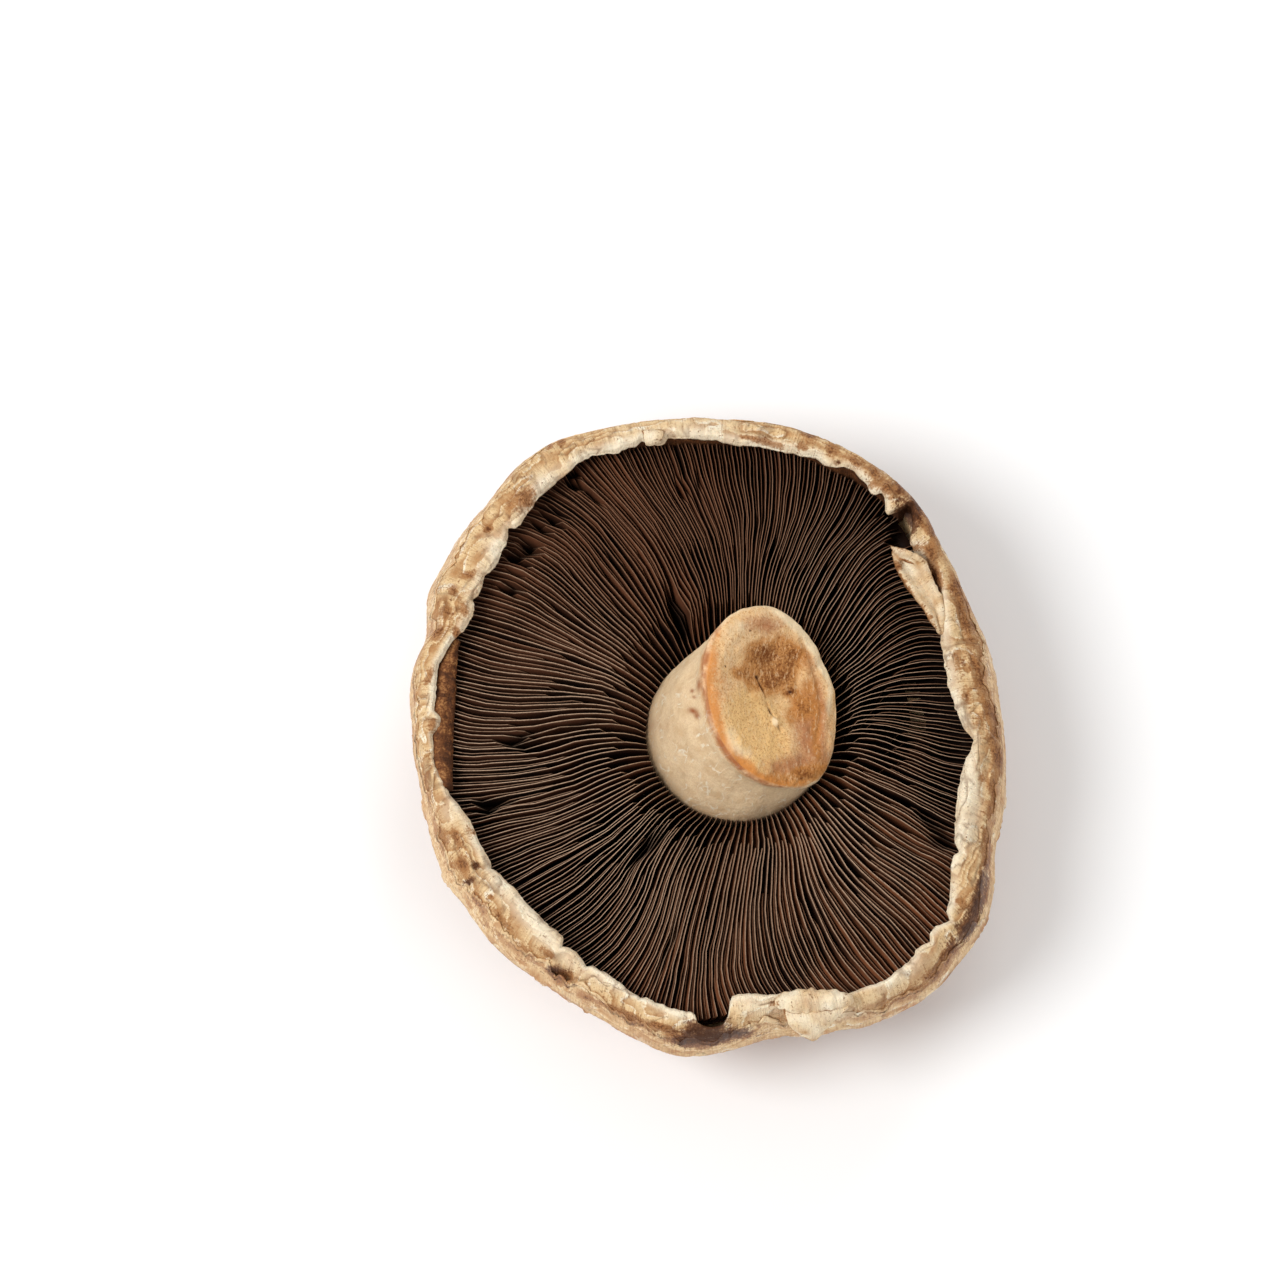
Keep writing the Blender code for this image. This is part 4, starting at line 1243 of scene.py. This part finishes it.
def gillGuides():
    # one row of stations for each gill: its free edge, and what the blades read there
    columns = capColumns(720)
    chance = np.random.default_rng(5)
    count, stations = gillShape["count"], gillShape["stations"]
    number = np.arange(count)[:, None]
    short = number % 2 == 1
    starts = [chance.uniform(*gillShape[length], (count, 1)) for length in ("long", "short")]
    start = np.where(number % 4 == 0, 0.0, np.where(short, starts[1], starts[0]))
    base = turn * (number + chance.uniform(-0.2, 0.2, (count, 1))) / count
    base = base + gillShape["crowding"] * np.sin(2 * base)
    t = np.linspace(0, 1, stations)
    t = t - gillShape["endCrowding"] * np.sin(turn * t)
    share = start + (1 - start) * t
    angle = np.repeat(base, stations, axis=1)
    for amount, waves, phase, halves in gillShape["sweeps"]:
        angle = angle + amount * np.sin(waves * base + phase) * np.sin(math.pi * halves * share)
    place = spread(share, angle, columns, gillShape["gap"])
    flat = np.concatenate([place, np.zeros((*share.shape, 1))], axis=-1)
    along = np.gradient(flat, axis=1)
    along /= np.linalg.norm(along, axis=-1, keepdims=True)
    side = np.stack([-along[..., 1], along[..., 0], np.zeros(share.shape)], axis=-1)
    # none of them runs quite straight, and neighbours lean together
    calm = np.sin(math.pi * np.clip(share, 0, 1)) ** 0.5
    flat = flat + side * (calm * lumpSum(flat, gillShape["bow"]))[..., None]
    flat = flat + side * (calm * chance.normal(0, gillShape["aside"], (count, 1)))[..., None]
    drum = np.stack([number * 0.34 + 0 * share, share * 5.0, 0 * share], axis=-1)
    flat = flat + side * (calm * gillShape["clump"] * lumps(drum, 1.0, 87) * (0.7 + 1.1 * share))[..., None]
    flat[..., 2] = gillShape["edgeHeight"]
    for far, off, tilt, apart in ovals(flat, gillShape["partings"]):
        push = apart * np.exp(-(far**2)) * np.tanh(off * 2.5) * np.exp(-(off**2))
        flat[..., 0] -= push * math.sin(tilt)
        flat[..., 1] += push * math.cos(tilt)
    # heights of the free edge
    flat[..., 2] = 0
    dive, diveShare, power = gillShape["dive"]
    fall, fallShare = gillShape["fall"]
    lower, shorterShade = gillShape["shorter"]
    edge = gillShape["edgeHeight"] - dive * np.maximum(0, 1 - share / diveShare) ** power
    edge -= fall * np.maximum(0, (share - fallShare) / (1 - fallShare)) ** 2
    edge += lumpSum(flat, gillShape["wave"]) + chance.normal(0, gillShape["uneven"], (count, 1))
    edge -= lower * short
    low = floorHeight(share) + gillShape["bed"]
    flat[..., 2] = edge
    jumps = np.random.default_rng(6).uniform(-1, 1, (count, 1, 1))
    bitten = np.zeros(share.shape)
    for far, off, _, depth in ovals(flat + gillShape["ragged"] * jumps * along, gillShape["bites"]):
        bitten += depth * np.exp(-((far**2 + off**2) ** 2)) * (0.8 + 0.4 * chance.random((count, 1)))
    # short gills rise out of the bed in a rounded hook
    hook, sharpness = gillShape["hook"]
    born = np.clip((share - start) / hook, 0, 1)
    rise = np.where(start > 0, 1 - (1 - born) ** sharpness, 1.0)
    height = np.maximum((edge - bitten - low) * rise, gillShape["least"])
    flat[..., 2] = low + height
    degrees = np.degrees(angle) % 360
    lean = np.radians(roundTable(degrees, gillShape["lean"])) * np.minimum(1, share / 0.12 + 0.3)
    lean = lean + np.radians(3.0) * lumps(flat, 5.0, 85)
    down = -side * (np.tan(lean) * height)[..., None]
    down[..., 2] = -height
    tone = 0.5 + chance.normal(0, gillShape["tones"], (count, 1)) + 0.5 * lumps(flat, 7.0, 86)
    return flat, {
        "rootStep": down * mm,
        "side": side,
        "tone": np.clip(tone, 0, 1),
        "edgeShade": np.clip(roundTable(degrees, gillShape["edgeShade"]) + shorterShade * short, 0, 1),
        "litFlank": roundTable(degrees, gillShape["litFlank"]),
        # how much painted shade darkens a torn place
        "torn": ease(bitten, 0.8, 2.6),
    }


def bladeTree():
    # Geometry Nodes: one thin box for each gill, bent along its guide
    tree, given = newTree("gillBlades", {
        "Stations": ("Int", gillShape["stations"]),
        "Edge thickness": ("Float", gillShape["edgeThickness"] * mm),
        "Root thickness": ("Float", gillShape["rootThickness"] * mm),
        "Ripple": ("Float", gillShape["ripple"] * mm),
    })
    guides, stations = given["Geometry"], given["Stations"]
    size = step(guides, "AttributeDomainSize")
    points = put(tree, "GeometryNodePoints", {"Count": calc("DIVIDE", size, stations)})
    sockets = {"Size": (1, 1, 1), "Vertices X": stations, "Vertices Y": 2, "Vertices Z": 2}
    box = out(put(tree, "GeometryNodeMeshCube", sockets), "Mesh")

    def store(geometry, name, value, **settings):
        return step(geometry, "StoreNamedAttribute", {"Name": name, "Value": value}, **settings)

    box = store(box, "local", source(tree, "Position"), data_type="FLOAT_VECTOR")
    blades = out(put(tree, "GeometryNodeInstanceOnPoints", {"Points": out(points), "Instance": box}))
    blades = store(blades, "gill", source(tree, "Index"), data_type="INT", domain="INSTANCE")
    blades = step(blades, "RealizeInstances")
    local = put(tree, "ShaderNodeSeparateXYZ", {0: readAttribute(tree, "local", vector=True)}).outputs
    gill = out(put(tree, "GeometryNodeInputNamedAttribute", {"Name": "gill"}, data_type="INT"))
    station = times(calc("ADD", local["X"], 0.5), calc("SUBTRACT", stations, 1))
    index = calc("MULTIPLY_ADD", gill, stations, calc("ROUND", station))

    def guide(value, kind="FLOAT_VECTOR"):
        return step(guides, "SampleIndex", {"Value": value, "Index": index}, data_type=kind)

    edge = guide(source(tree, "Position"))
    down, side = (guide(readAttribute(tree, name, vector=True)) for name in ("rootStep", "side"))
    up = calc("ADD", local["Z"], 0.5)
    sockets = {"Value": up, "To Min": given["Root thickness"], "To Max": given["Edge thickness"]}
    thick = out(put(tree, "ShaderNodeMapRange", sockets))
    ripple = times(centred(grain(edge, 0.0035, 1.0)), given["Ripple"])
    aside = calc("MULTIPLY_ADD", thick, local["Y"], times(ripple, up))
    middle = calcVector("ADD", edge, calcVector("SCALE", down, calc("SUBTRACT", 1.0, up)))
    position = calcVector("ADD", middle, calcVector("SCALE", side, aside))
    blades = store(step(blades, "SetPosition", {"Position": position}), "blade", up)
    for name in ("tone", "edgeShade", "litFlank", "torn"):
        blades = store(blades, name, guide(readAttribute(tree, name), "FLOAT"))
    crease = calc("GREATER_THAN", source(tree, "MeshEdgeAngle", "Unsigned Angle"), 0.6)
    blades = step(blades, "SetShadeSmooth", {"Shade Smooth": True})
    blades = step(blades, "SetShadeSmooth", {"Selection": crease, "Shade Smooth": False}, domain="EDGE")
    return finishTree(tree, given, blades)


def gillMaterial():
    material, tree = newMaterial("gillPlates", gillFinish)
    place = objectPlace(tree)
    blade, tone, edgeShade, litFlank, torn = (
        readAttribute(tree, name) for name in ("blade", "tone", "edgeShade", "litFlank", "torn")
    )
    speck = grain(place, 0.5, 3.0, 0.6)
    shade = weighed((tone, 0.6), (grain(place, 5.0, 2.0), 0.5))
    # painted light: flanks facing the light turn a warmer brown
    flank = layered(gillFinish, "flank", (litFlank, "litFlank"))
    flank = layered(gillFinish, "deep", (band(shade, 0.25, 0.85), flank))
    worn = times(band(speck, 0.45, 0.65), 0.4)
    # the pale edge, dimmed by painted shade on the sides away from the light and on the lower gills
    lightEdge = layered(gillFinish, "edge", (edgeShade, "shadedEdge"), (worn, "flank"))
    # painted shade low between the gills, lightening up the flanks
    colour = layered(
        gillFinish, "deep",
        (band(blade, 0.3, 0.9), flank),
        # the pale edge, partly painted highlight
        (band(stirred(blade, (speck, 0.03)), 0.95, 0.99), lightEdge),
        # painted shade in the torn places
        (times(torn, 0.85), "tearShade"),
    )
    return finishMaterial(material, gillFinish, colour, speck, speck)


def makeGills(material):
    points, attributes = gillGuides()
    return runTree(newPiece("gillBlades", points, [], attributes, None), bladeTree(), material)


bedShape = {"columns": 240, "rings": 14, "heights": (0.9, 0.4), "clear": 0.3, "lumps": [(0.12, 2.0, 91)]}


def makeBed(material):
    columns = capColumns(bedShape["columns"])
    angles = columns["angles"]
    shares = np.linspace(0, 1, bedShape["rings"])
    upper, lower = bedShape["heights"]
    rows = []
    for share, lift in [*((s, upper) for s in shares), *((s, lower) for s in shares[::-1])]:
        place = spread(np.full(len(angles), share), angles, columns, bedShape["clear"])
        rows.append(np.column_stack([place, np.full(len(angles), floorHeight(share) + lift)]))
    points = np.array(rows)[::-1]
    points[..., 2] += lumpSum(points, bedShape["lumps"])
    zero = np.zeros(points.shape[:2])
    # the bed takes the painted shade of the gills' depth
    attributes = {"blade": zero, "tone": zero + 0.3, "edgeShade": zero, "litFlank": zero, "torn": zero}
    return newPiece("gillBed", points, ringFaces(*zero.shape, loop=True), attributes, material)


# stem

stemShape = {
    "foot": capShape["stemFoot"],
    "footHeight": 19.3,
    "lean": (6.2, 0.9),  # from the foot to the cut
    "cutHeight": 44.0,
    "cutTilt": 43.0,  # degrees
    "cutFaces": -6.0,
    "tipping": 1.5,  # power with which the stem bends on its way up
    "flank": [  # share of the height, and radius
        (0.0, 17.6), (0.15, 17.2), (0.3, 16.8), (0.5, 16.3), (0.7, 15.8), (0.86, 15.7), (0.95, 16.5),
        (1.0, 16.9),
    ],
    "cutOutline": [
        16.7, 16.3, 15.8, 16.2, 16.8, 17.3, 17.6, 18.0, 17.9,
        17.5, 17.0, 16.6, 16.2, 16.0, 16.2, 17.2, 18.2, 17.4,
    ],  # radius every 20 degrees
    "end": [  # the cut face: share of the radius, and height over the cut
        (1.0, 0.0), (0.99, 0.35), (0.96, 0.75), (0.9, 1.05), (0.82, 1.12), (0.7, 0.75), (0.58, 0.25),
        (0.45, -0.4), (0.3, -0.95), (0.16, -1.15), (0.03, -1.2),
    ],
    "columns": 320,
    "flankRings": 96,
    "endRings": 92,
    "flankLumps": [(0.28, (4.0, 4.0, 9.0), 101), (0.12, (1.2, 1.2, 5.0), 102), (0.05, 0.6, 103)],
    "faceLumps": [(0.34, 3.6, 104), (0.16, 1.4, 105), (0.09, 0.6, 106)],
    # lines of picture points in the cut face, then ovals in it, and how deep and broad they are
    "crack": [(757, 676), (761, 684), (765, 694), (768, 706), (772, 715), (777, 722), (782, 731)],
    "fold": [(801, 640), (812, 662), (820, 690), (822, 716), (817, 742)],
    "hollow": [(768, 664, 20, 12, -35, 1.0)],
    "crumb": [(774.6, 722, 2.9, 4.6, 15, 1.0)],
    "depths": {"crack": 0.5, "fold": 0.3, "hollow": 0.5},
    "breadths": {"crack": 1.35, "fold": 2.5},
    "lobes": (3, 0.02),  # of the foot: how many, and share of the radius
    "mapSize": (16, 25),  # radius and height of the drum that the flank's colours are wound on
}

# Marks on the stem, from the photograph, as ovals() takes them
stemMarks = {
    "ochre": [
        (745, 735, 26, 40, 10, 0.9), (760, 715, 22, 30, 0, 0.7), (775, 750, 20, 24, 0, 0.9),
        (765, 770, 30, 12, 10, 0.6), (742, 705, 16, 22, 0, 0.6), (795, 700, 18, 30, 0, 0.45),
    ],
    "brown": [
        (764, 656, 24, 13, 40, 0.85), (740, 674, 11, 6, -20, 0.75), (784, 672, 24, 12, 50, 0.9),
        (757, 650, 12, 9, 0, 0.6), (790, 692, 7, 6, 0, 0.8), (802, 710, 12, 9, 20, 0.7),
        (764, 682, 12, 8, 0, 0.6), (816, 735, 7, 30, 0, 0.5), (792, 650, 14, 7, -45, 0.5),
        (806, 774, 22, 9, 15, 0.8), (775, 780, 24, 8, -10, 0.6), (748, 768, 14, 7, -30, 0.45),
        (812, 690, 8, 18, 0, 0.4), (778, 668, 30, 17, 42, 0.45), (800, 700, 14, 24, -10, 0.35),
    ],
    "pink": [
        (764, 625, 24, 11, -10, 0.75), (812, 735, 18, 40, 10, 1.0), (806, 706, 16, 18, 0, 0.8),
        (788, 768, 34, 15, 10, 0.85), (800, 655, 16, 12, -45, 0.8), (816, 700, 10, 30, 0, 0.7),
        (733, 690, 12, 22, 0, 0.3),
    ],
    "orange": [
        (706, 676, 11, 34, 0, 1.0), (711, 648, 9, 22, -12, 0.6), (715, 715, 9, 26, 12, 1.0),
        (723, 742, 9, 16, 28, 1.0), (738, 762, 18, 10, -38, 1.0), (754, 775, 24, 9, -25, 1.0),
        (774, 784, 24, 7, -8, 1.0), (716, 630, 12, 12, 0, 0.4), (722, 680, 14, 30, 0, 0.45),
        (808, 782, 18, 6, 12, 0.6),
    ],
    "pale": [
        (782, 613, 14, 5, -25, 0.8), (795, 624, 16, 7, -45, 1.0), (812, 645, 16, 7, -58, 1.0),
        (823, 668, 14, 6, -68, 0.9), (830, 698, 5, 24, 0, 0.7), (736, 626, 14, 11, 0, 0.55),
        (726, 655, 8, 16, 0, 0.3), (731, 735, 9, 18, 10, 0.55), (745, 752, 14, 9, -30, 0.5),
        (792, 790, 20, 2.4, 3, 0.9), (813, 784, 9, 2.6, 25, 0.9), (775, 722, 3.5, 5.5, 20, 1.0),
        (768, 641, 9, 2.5, 0, 0.4),
    ],
    "dark": [
        (757, 677, 3, 4, -60, 0.5), (790, 692, 2.4, 2.0, 0, 0.8), (725.4, 666, 1.2, 1.2, 0, 0.9),
        (750, 630.6, 1.3, 1.2, 0, 0.9), (812, 776, 9, 4, 20, 0.4), (800, 779, 9, 3, 5, 0.35),
    ],
    "spots": [
        (693, 711, 5, 3, -20, 0.95), (697, 716, 3, 3, 0, 0.8), (699, 685, 2.5, 7, 0, 0.8),
        (692, 691, 2, 2, 0, 0.9), (694, 697, 2, 1.6, 0, 0.8), (692, 812, 1.4, 1.2, 0, 0.9),
        (655, 725, 14, 8, 0, 0.12), (719, 736, 2, 5, 0, 0.8),
    ],
}
stemFinish = {
    "flank": tint(244, 216, 176),
    "flankShade": tint(214, 178, 134),
    "vein": tint(255, 244, 220),
    # painted shade at the stem's foot
    "foot": tint(124, 92, 64),
    "cut": tint(234, 188, 130),
    "ochre": tint(246, 202, 136),
    "brown": tint(122, 68, 28),
    "pink": tint(176, 114, 74),
    "orange": tint(214, 138, 68),
    "border": tint(150, 72, 24),
    "amber": tint(196, 130, 64),
    "pale": tint(250, 226, 186),
    "dark": tint(70, 36, 16),
    "roughness": (0.42, 0.62),
    "bump": 0.16,
    "surface": {
        "Subsurface Weight": 0.04, "Subsurface Radius": (1.0, 0.55, 0.3), "Subsurface Scale": 0.0016,
        "Specular IOR Level": 0.15,
    },
}


def nearPath(points, name):
    # 1 on a line of picture points, fading to 0 beside it
    x, y = toPicture(points)
    path, nearest = stemShape[name], np.full(x.shape, 1e9)
    for (ax, ay), (bx, by) in zip(path, path[1:]):
        dx, dy = bx - ax, by - ay
        t = np.clip(((x - ax) * dx + (y - ay) * dy) / (dx * dx + dy * dy), 0, 1)
        nearest = np.minimum(nearest, np.hypot(x - ax - t * dx, y - ay - t * dy))
    return np.exp(-((nearest / stemShape["breadths"][name]) ** 2))


def stemFrame(up):
    # centre and directions of the stem's section at this share of its height
    tipped = up ** stemShape["tipping"]
    foot, lean = stemShape["foot"], stemShape["lean"]
    low, high = stemShape["footHeight"], stemShape["cutHeight"]
    centre = np.array([foot[0] + lean[0] * tipped, foot[1] + lean[1] * tipped, low + (high - low) * up])
    faces, tilt = math.radians(stemShape["cutFaces"]), math.radians(stemShape["cutTilt"]) * tipped
    slope = np.array([math.cos(faces), math.sin(faces), 0.0])
    down = slope * math.cos(tilt) - np.array([0, 0, math.sin(tilt)])
    across = np.array([-slope[1], slope[0], 0.0])
    return centre, down, across, np.cross(down, across)


def makeStem(material):
    angles = turn * np.arange(stemShape["columns"]) / stemShape["columns"]
    cut = closedCurve(stemShape["cutOutline"], angles)
    cutRadius = stemShape["flank"][-1][1]
    count, swell = stemShape["lobes"]
    lobes = 1 + swell * np.sin(count * angles)
    fine = openCurve(stemShape["flank"], 200)
    rows, face, climb = [], [], []

    def ring(up, radius, lift, faceShare):
        centre, down, across, normal = stemFrame(up)
        radius = radius[:, None]
        around = down * np.cos(angles)[:, None] * radius + across * np.sin(angles)[:, None] * radius
        rows.append(centre + around + normal * lift)
        face.append(np.full(len(angles), faceShare))
        climb.append(np.full(len(angles), up))

    for up in np.linspace(0, 1, stemShape["flankRings"]):
        outline = (1 - up**2) * lobes + up**2 * cut / cutRadius
        ring(up, np.interp(up, fine[:, 0], fine[:, 1]) * outline, 0.0, 0.0)
    for share, lift in openCurve(stemShape["end"], stemShape["endRings"])[1:]:
        ring(1.0, cut * share, lift, min(1.0, (1 - share) / 0.03))
    points, face, climb = np.array(rows), np.array(face), np.array(climb)
    outwards = points - [*stemShape["foot"], 0]
    outwards[..., 2] = 0
    outwards /= np.maximum(np.linalg.norm(outwards, axis=-1, keepdims=True), 1e-6)
    flankLift = lumpSum(points, stemShape["flankLumps"]) * (1 - face) * ease(climb, 0.0, 0.1)
    points = points + outwards * flankLift[..., None]
    # the cut face has a crack, a hollow, a fold and a crumb stuck to it
    crack = nearPath(points, "crack") * (0.75 + 0.5 * lumps(points, 1.2, 107))
    hollow, fold, depths = paint(points, stemShape["hollow"]), nearPath(points, "fold"), stemShape["depths"]
    dents = -depths["crack"] * crack - depths["hollow"] * hollow - depths["fold"] * fold
    faceLift = lumpSum(points, stemShape["faceLumps"]) + (dents + paint(points, stemShape["crumb"]))
    points = points + stemFrame(1.0)[3] * (faceLift * face * ease(face, 0, 1))[..., None]
    top = ease(climb, 0.9, 0.97)
    where = {"ochre": face, "brown": face, "pink": face, "spots": 1 - face, "orange": top, "pale": top}
    marks = {name: paint(points, spots) * where.get(name, 1.0) for name, spots in stemMarks.items()}
    # painted shade along the crack in the cut face
    marks["dark"] = np.clip(marks["dark"] + 0.55 * crack * face, 0, 1)
    drum, height = stemShape["mapSize"]
    attributes = {"face": face, "climb": climb, "stemMap": polar(drum, angles, height * climb), **marks}
    return turnedPiece("stemFlesh", points, attributes, material)


def stemMaterial():
    material, tree = newMaterial("stemFlesh", stemFinish)
    place = objectPlace(tree)
    marks = {name: readAttribute(tree, name) for name in stemMarks}
    face, climb = readAttribute(tree, "face"), readAttribute(tree, "climb")
    stemMap = readAttribute(tree, "stemMap", vector=True)
    grit = grain(place, 0.4, 4.0, 0.65)
    cloud = grain(place, 3.0, 3.0, 0.55)
    fibre = grain(stemMap, (0.5, 0.5, 4.0), 3.0, 0.6)
    speck = grain(place, 0.42, 4.0, 0.75)
    streaky = grain(place, (0.5, 1.5, 0.8), 4.0, 0.7)

    def mark(name, low=0.25, high=0.8, most=0.9, loose=0.7):
        value = stirred(marks[name], (cloud, loose), (grit, loose))
        return band(value, low, high, 0.0, most), name

    # pale veins are the thin level lines of a slow noise
    swirl = put(tree, "ShaderNodeTexNoise", {"Vector": stemMap, "Scale": 0.35}).outputs["Color"]
    level = grain(calcVector("ADD", stemMap, calcVector("SCALE", swirl, 3.0)), (3.0, 3.0, 7.6), 2.0)
    vein = times(band(calc("ABSOLUTE", centred(level)), 0.03, 0.0), band(cloud, 0.42, 0.6))
    flank = layered(
        stemFinish, "flank",
        (band(cloud, 0.35, 0.75, 0.0, 0.7), "flankShade"),
        (times(band(fibre, 0.5, 0.75), 0.3), "flankShade"),
        (times(vein, 0.8), "vein"),
        # painted shade towards the foot, where the stem meets the gills
        (band(stirred(climb, (cloud, 0.15)), 0.36, 0.05), "foot"),
        (band(grit, 0.42, 0.6, 0.0, 0.4), "flankShade"),
        (marks["spots"], "border"),
        mark("orange", 0.3, 1.1, 0.4, 1.0),
    )
    wisp = stirred(marks["brown"], (streaky, 1.5), (speck, 1.6), (cloud, 0.8))
    cut = layered(
        stemFinish, "cut",
        (band(cloud, 0.3, 0.7, 0.1, 0.5), "pale"),
        mark("ochre"),
        (band(speck, 0.48, 0.62, 0.0, 0.55), "amber"),
        mark("pink", 0.1, 0.9),
        (band(stirred(marks["brown"], (cloud, 0.9)), 0.05, 0.55, 0.0, 0.85), "amber"),
        (band(wisp, 0.42, 1.15, 0.0, 1.0), "brown"),
        (band(speck, 0.56, 0.66, 0.0, 0.4), "brown"),
        (band(streaky, 0.46, 0.34, 0.0, 0.35), "pale"),
        mark("orange", 0.25, 1.0, 0.9, 1.0),
    )
    border = times(times(band(climb, 0.95, 1.0), band(face, 1.0, 0.3)), marks["orange"])
    colour = layered(
        stemFinish, flank,
        (face, cut),
        mark("pale", 0.25, 0.8, 0.9, 0.5),
        (times(border, band(cloud, 0.35, 0.6, 0.1, 0.8)), "border"),
        (band(marks["dark"], 0.2, 0.75), "dark"),
    )
    return finishMaterial(material, stemFinish, colour, grit, weighed((grit, 0.7), (fibre, 0.4)))


# floor and light

studio = {
    "floor": (1300.0, -0.2),  # half its width, and its height
    "surface": {"Base Color": (0.95, 0.95, 0.95, 1.0), "Roughness": 0.9},
    "world": 0.48,
    "aim": (0, 0, 0.03),
    "lamps": {  # place in metres, width, watts
        "keyLamp": ((-0.55, -0.15, 0.8), 0.5, 6.4),
        "fillLamp": ((0.65, -0.55, 0.6), 0.6, 1.8),
        "backLamp": ((0.25, 0.8, 0.6), 0.5, 2.6),
    },
}


def makeStage():
    half, height = studio["floor"]
    corners = np.array([(x * half, y * half, height) for x, y in ((-1, -1), (1, -1), (1, 1), (-1, 1))])
    floor = newPiece("floor", corners, [(0, 1, 2, 3)], {}, newMaterial("floor", studio)[0])
    for name, (place, width, watts) in studio["lamps"].items():
        data = bpy.data.lights.new(name, "AREA")
        data.shape, data.size, data.energy = "DISK", width, watts
        lamp = newObject(name, data)
        lamp.location = place
        lamp.rotation_euler = (Vector(place) - Vector(studio["aim"])).to_track_quat("Z", "Y").to_euler()
    world = bpy.data.worlds.new("studio")
    world.use_nodes = True
    background = world.node_tree.nodes["Background"].inputs
    background["Color"].default_value = (1, 1, 1, 1)
    background["Strength"].default_value = studio["world"]
    scene.world = world
    scene.view_settings.view_transform = "Standard"


makeCamera()
makeStage()
print("camera, floor and lamps ready")

settle(makeSkin(skinMaterial()), "cap", "cap")
veil = rimMaterial()
settle(makeRim(veil), "cap", "cap")
for flapName, flapShape in flaps.items():
    settle(makeFlap(flapName, flapShape, veil), "cap", "cap")
plates = gillMaterial()
settle(makeGills(plates), "gills", "gills")
settle(makeBed(plates), "gills", "gills")
settle(makeStem(stemMaterial()), "stem", "stem")
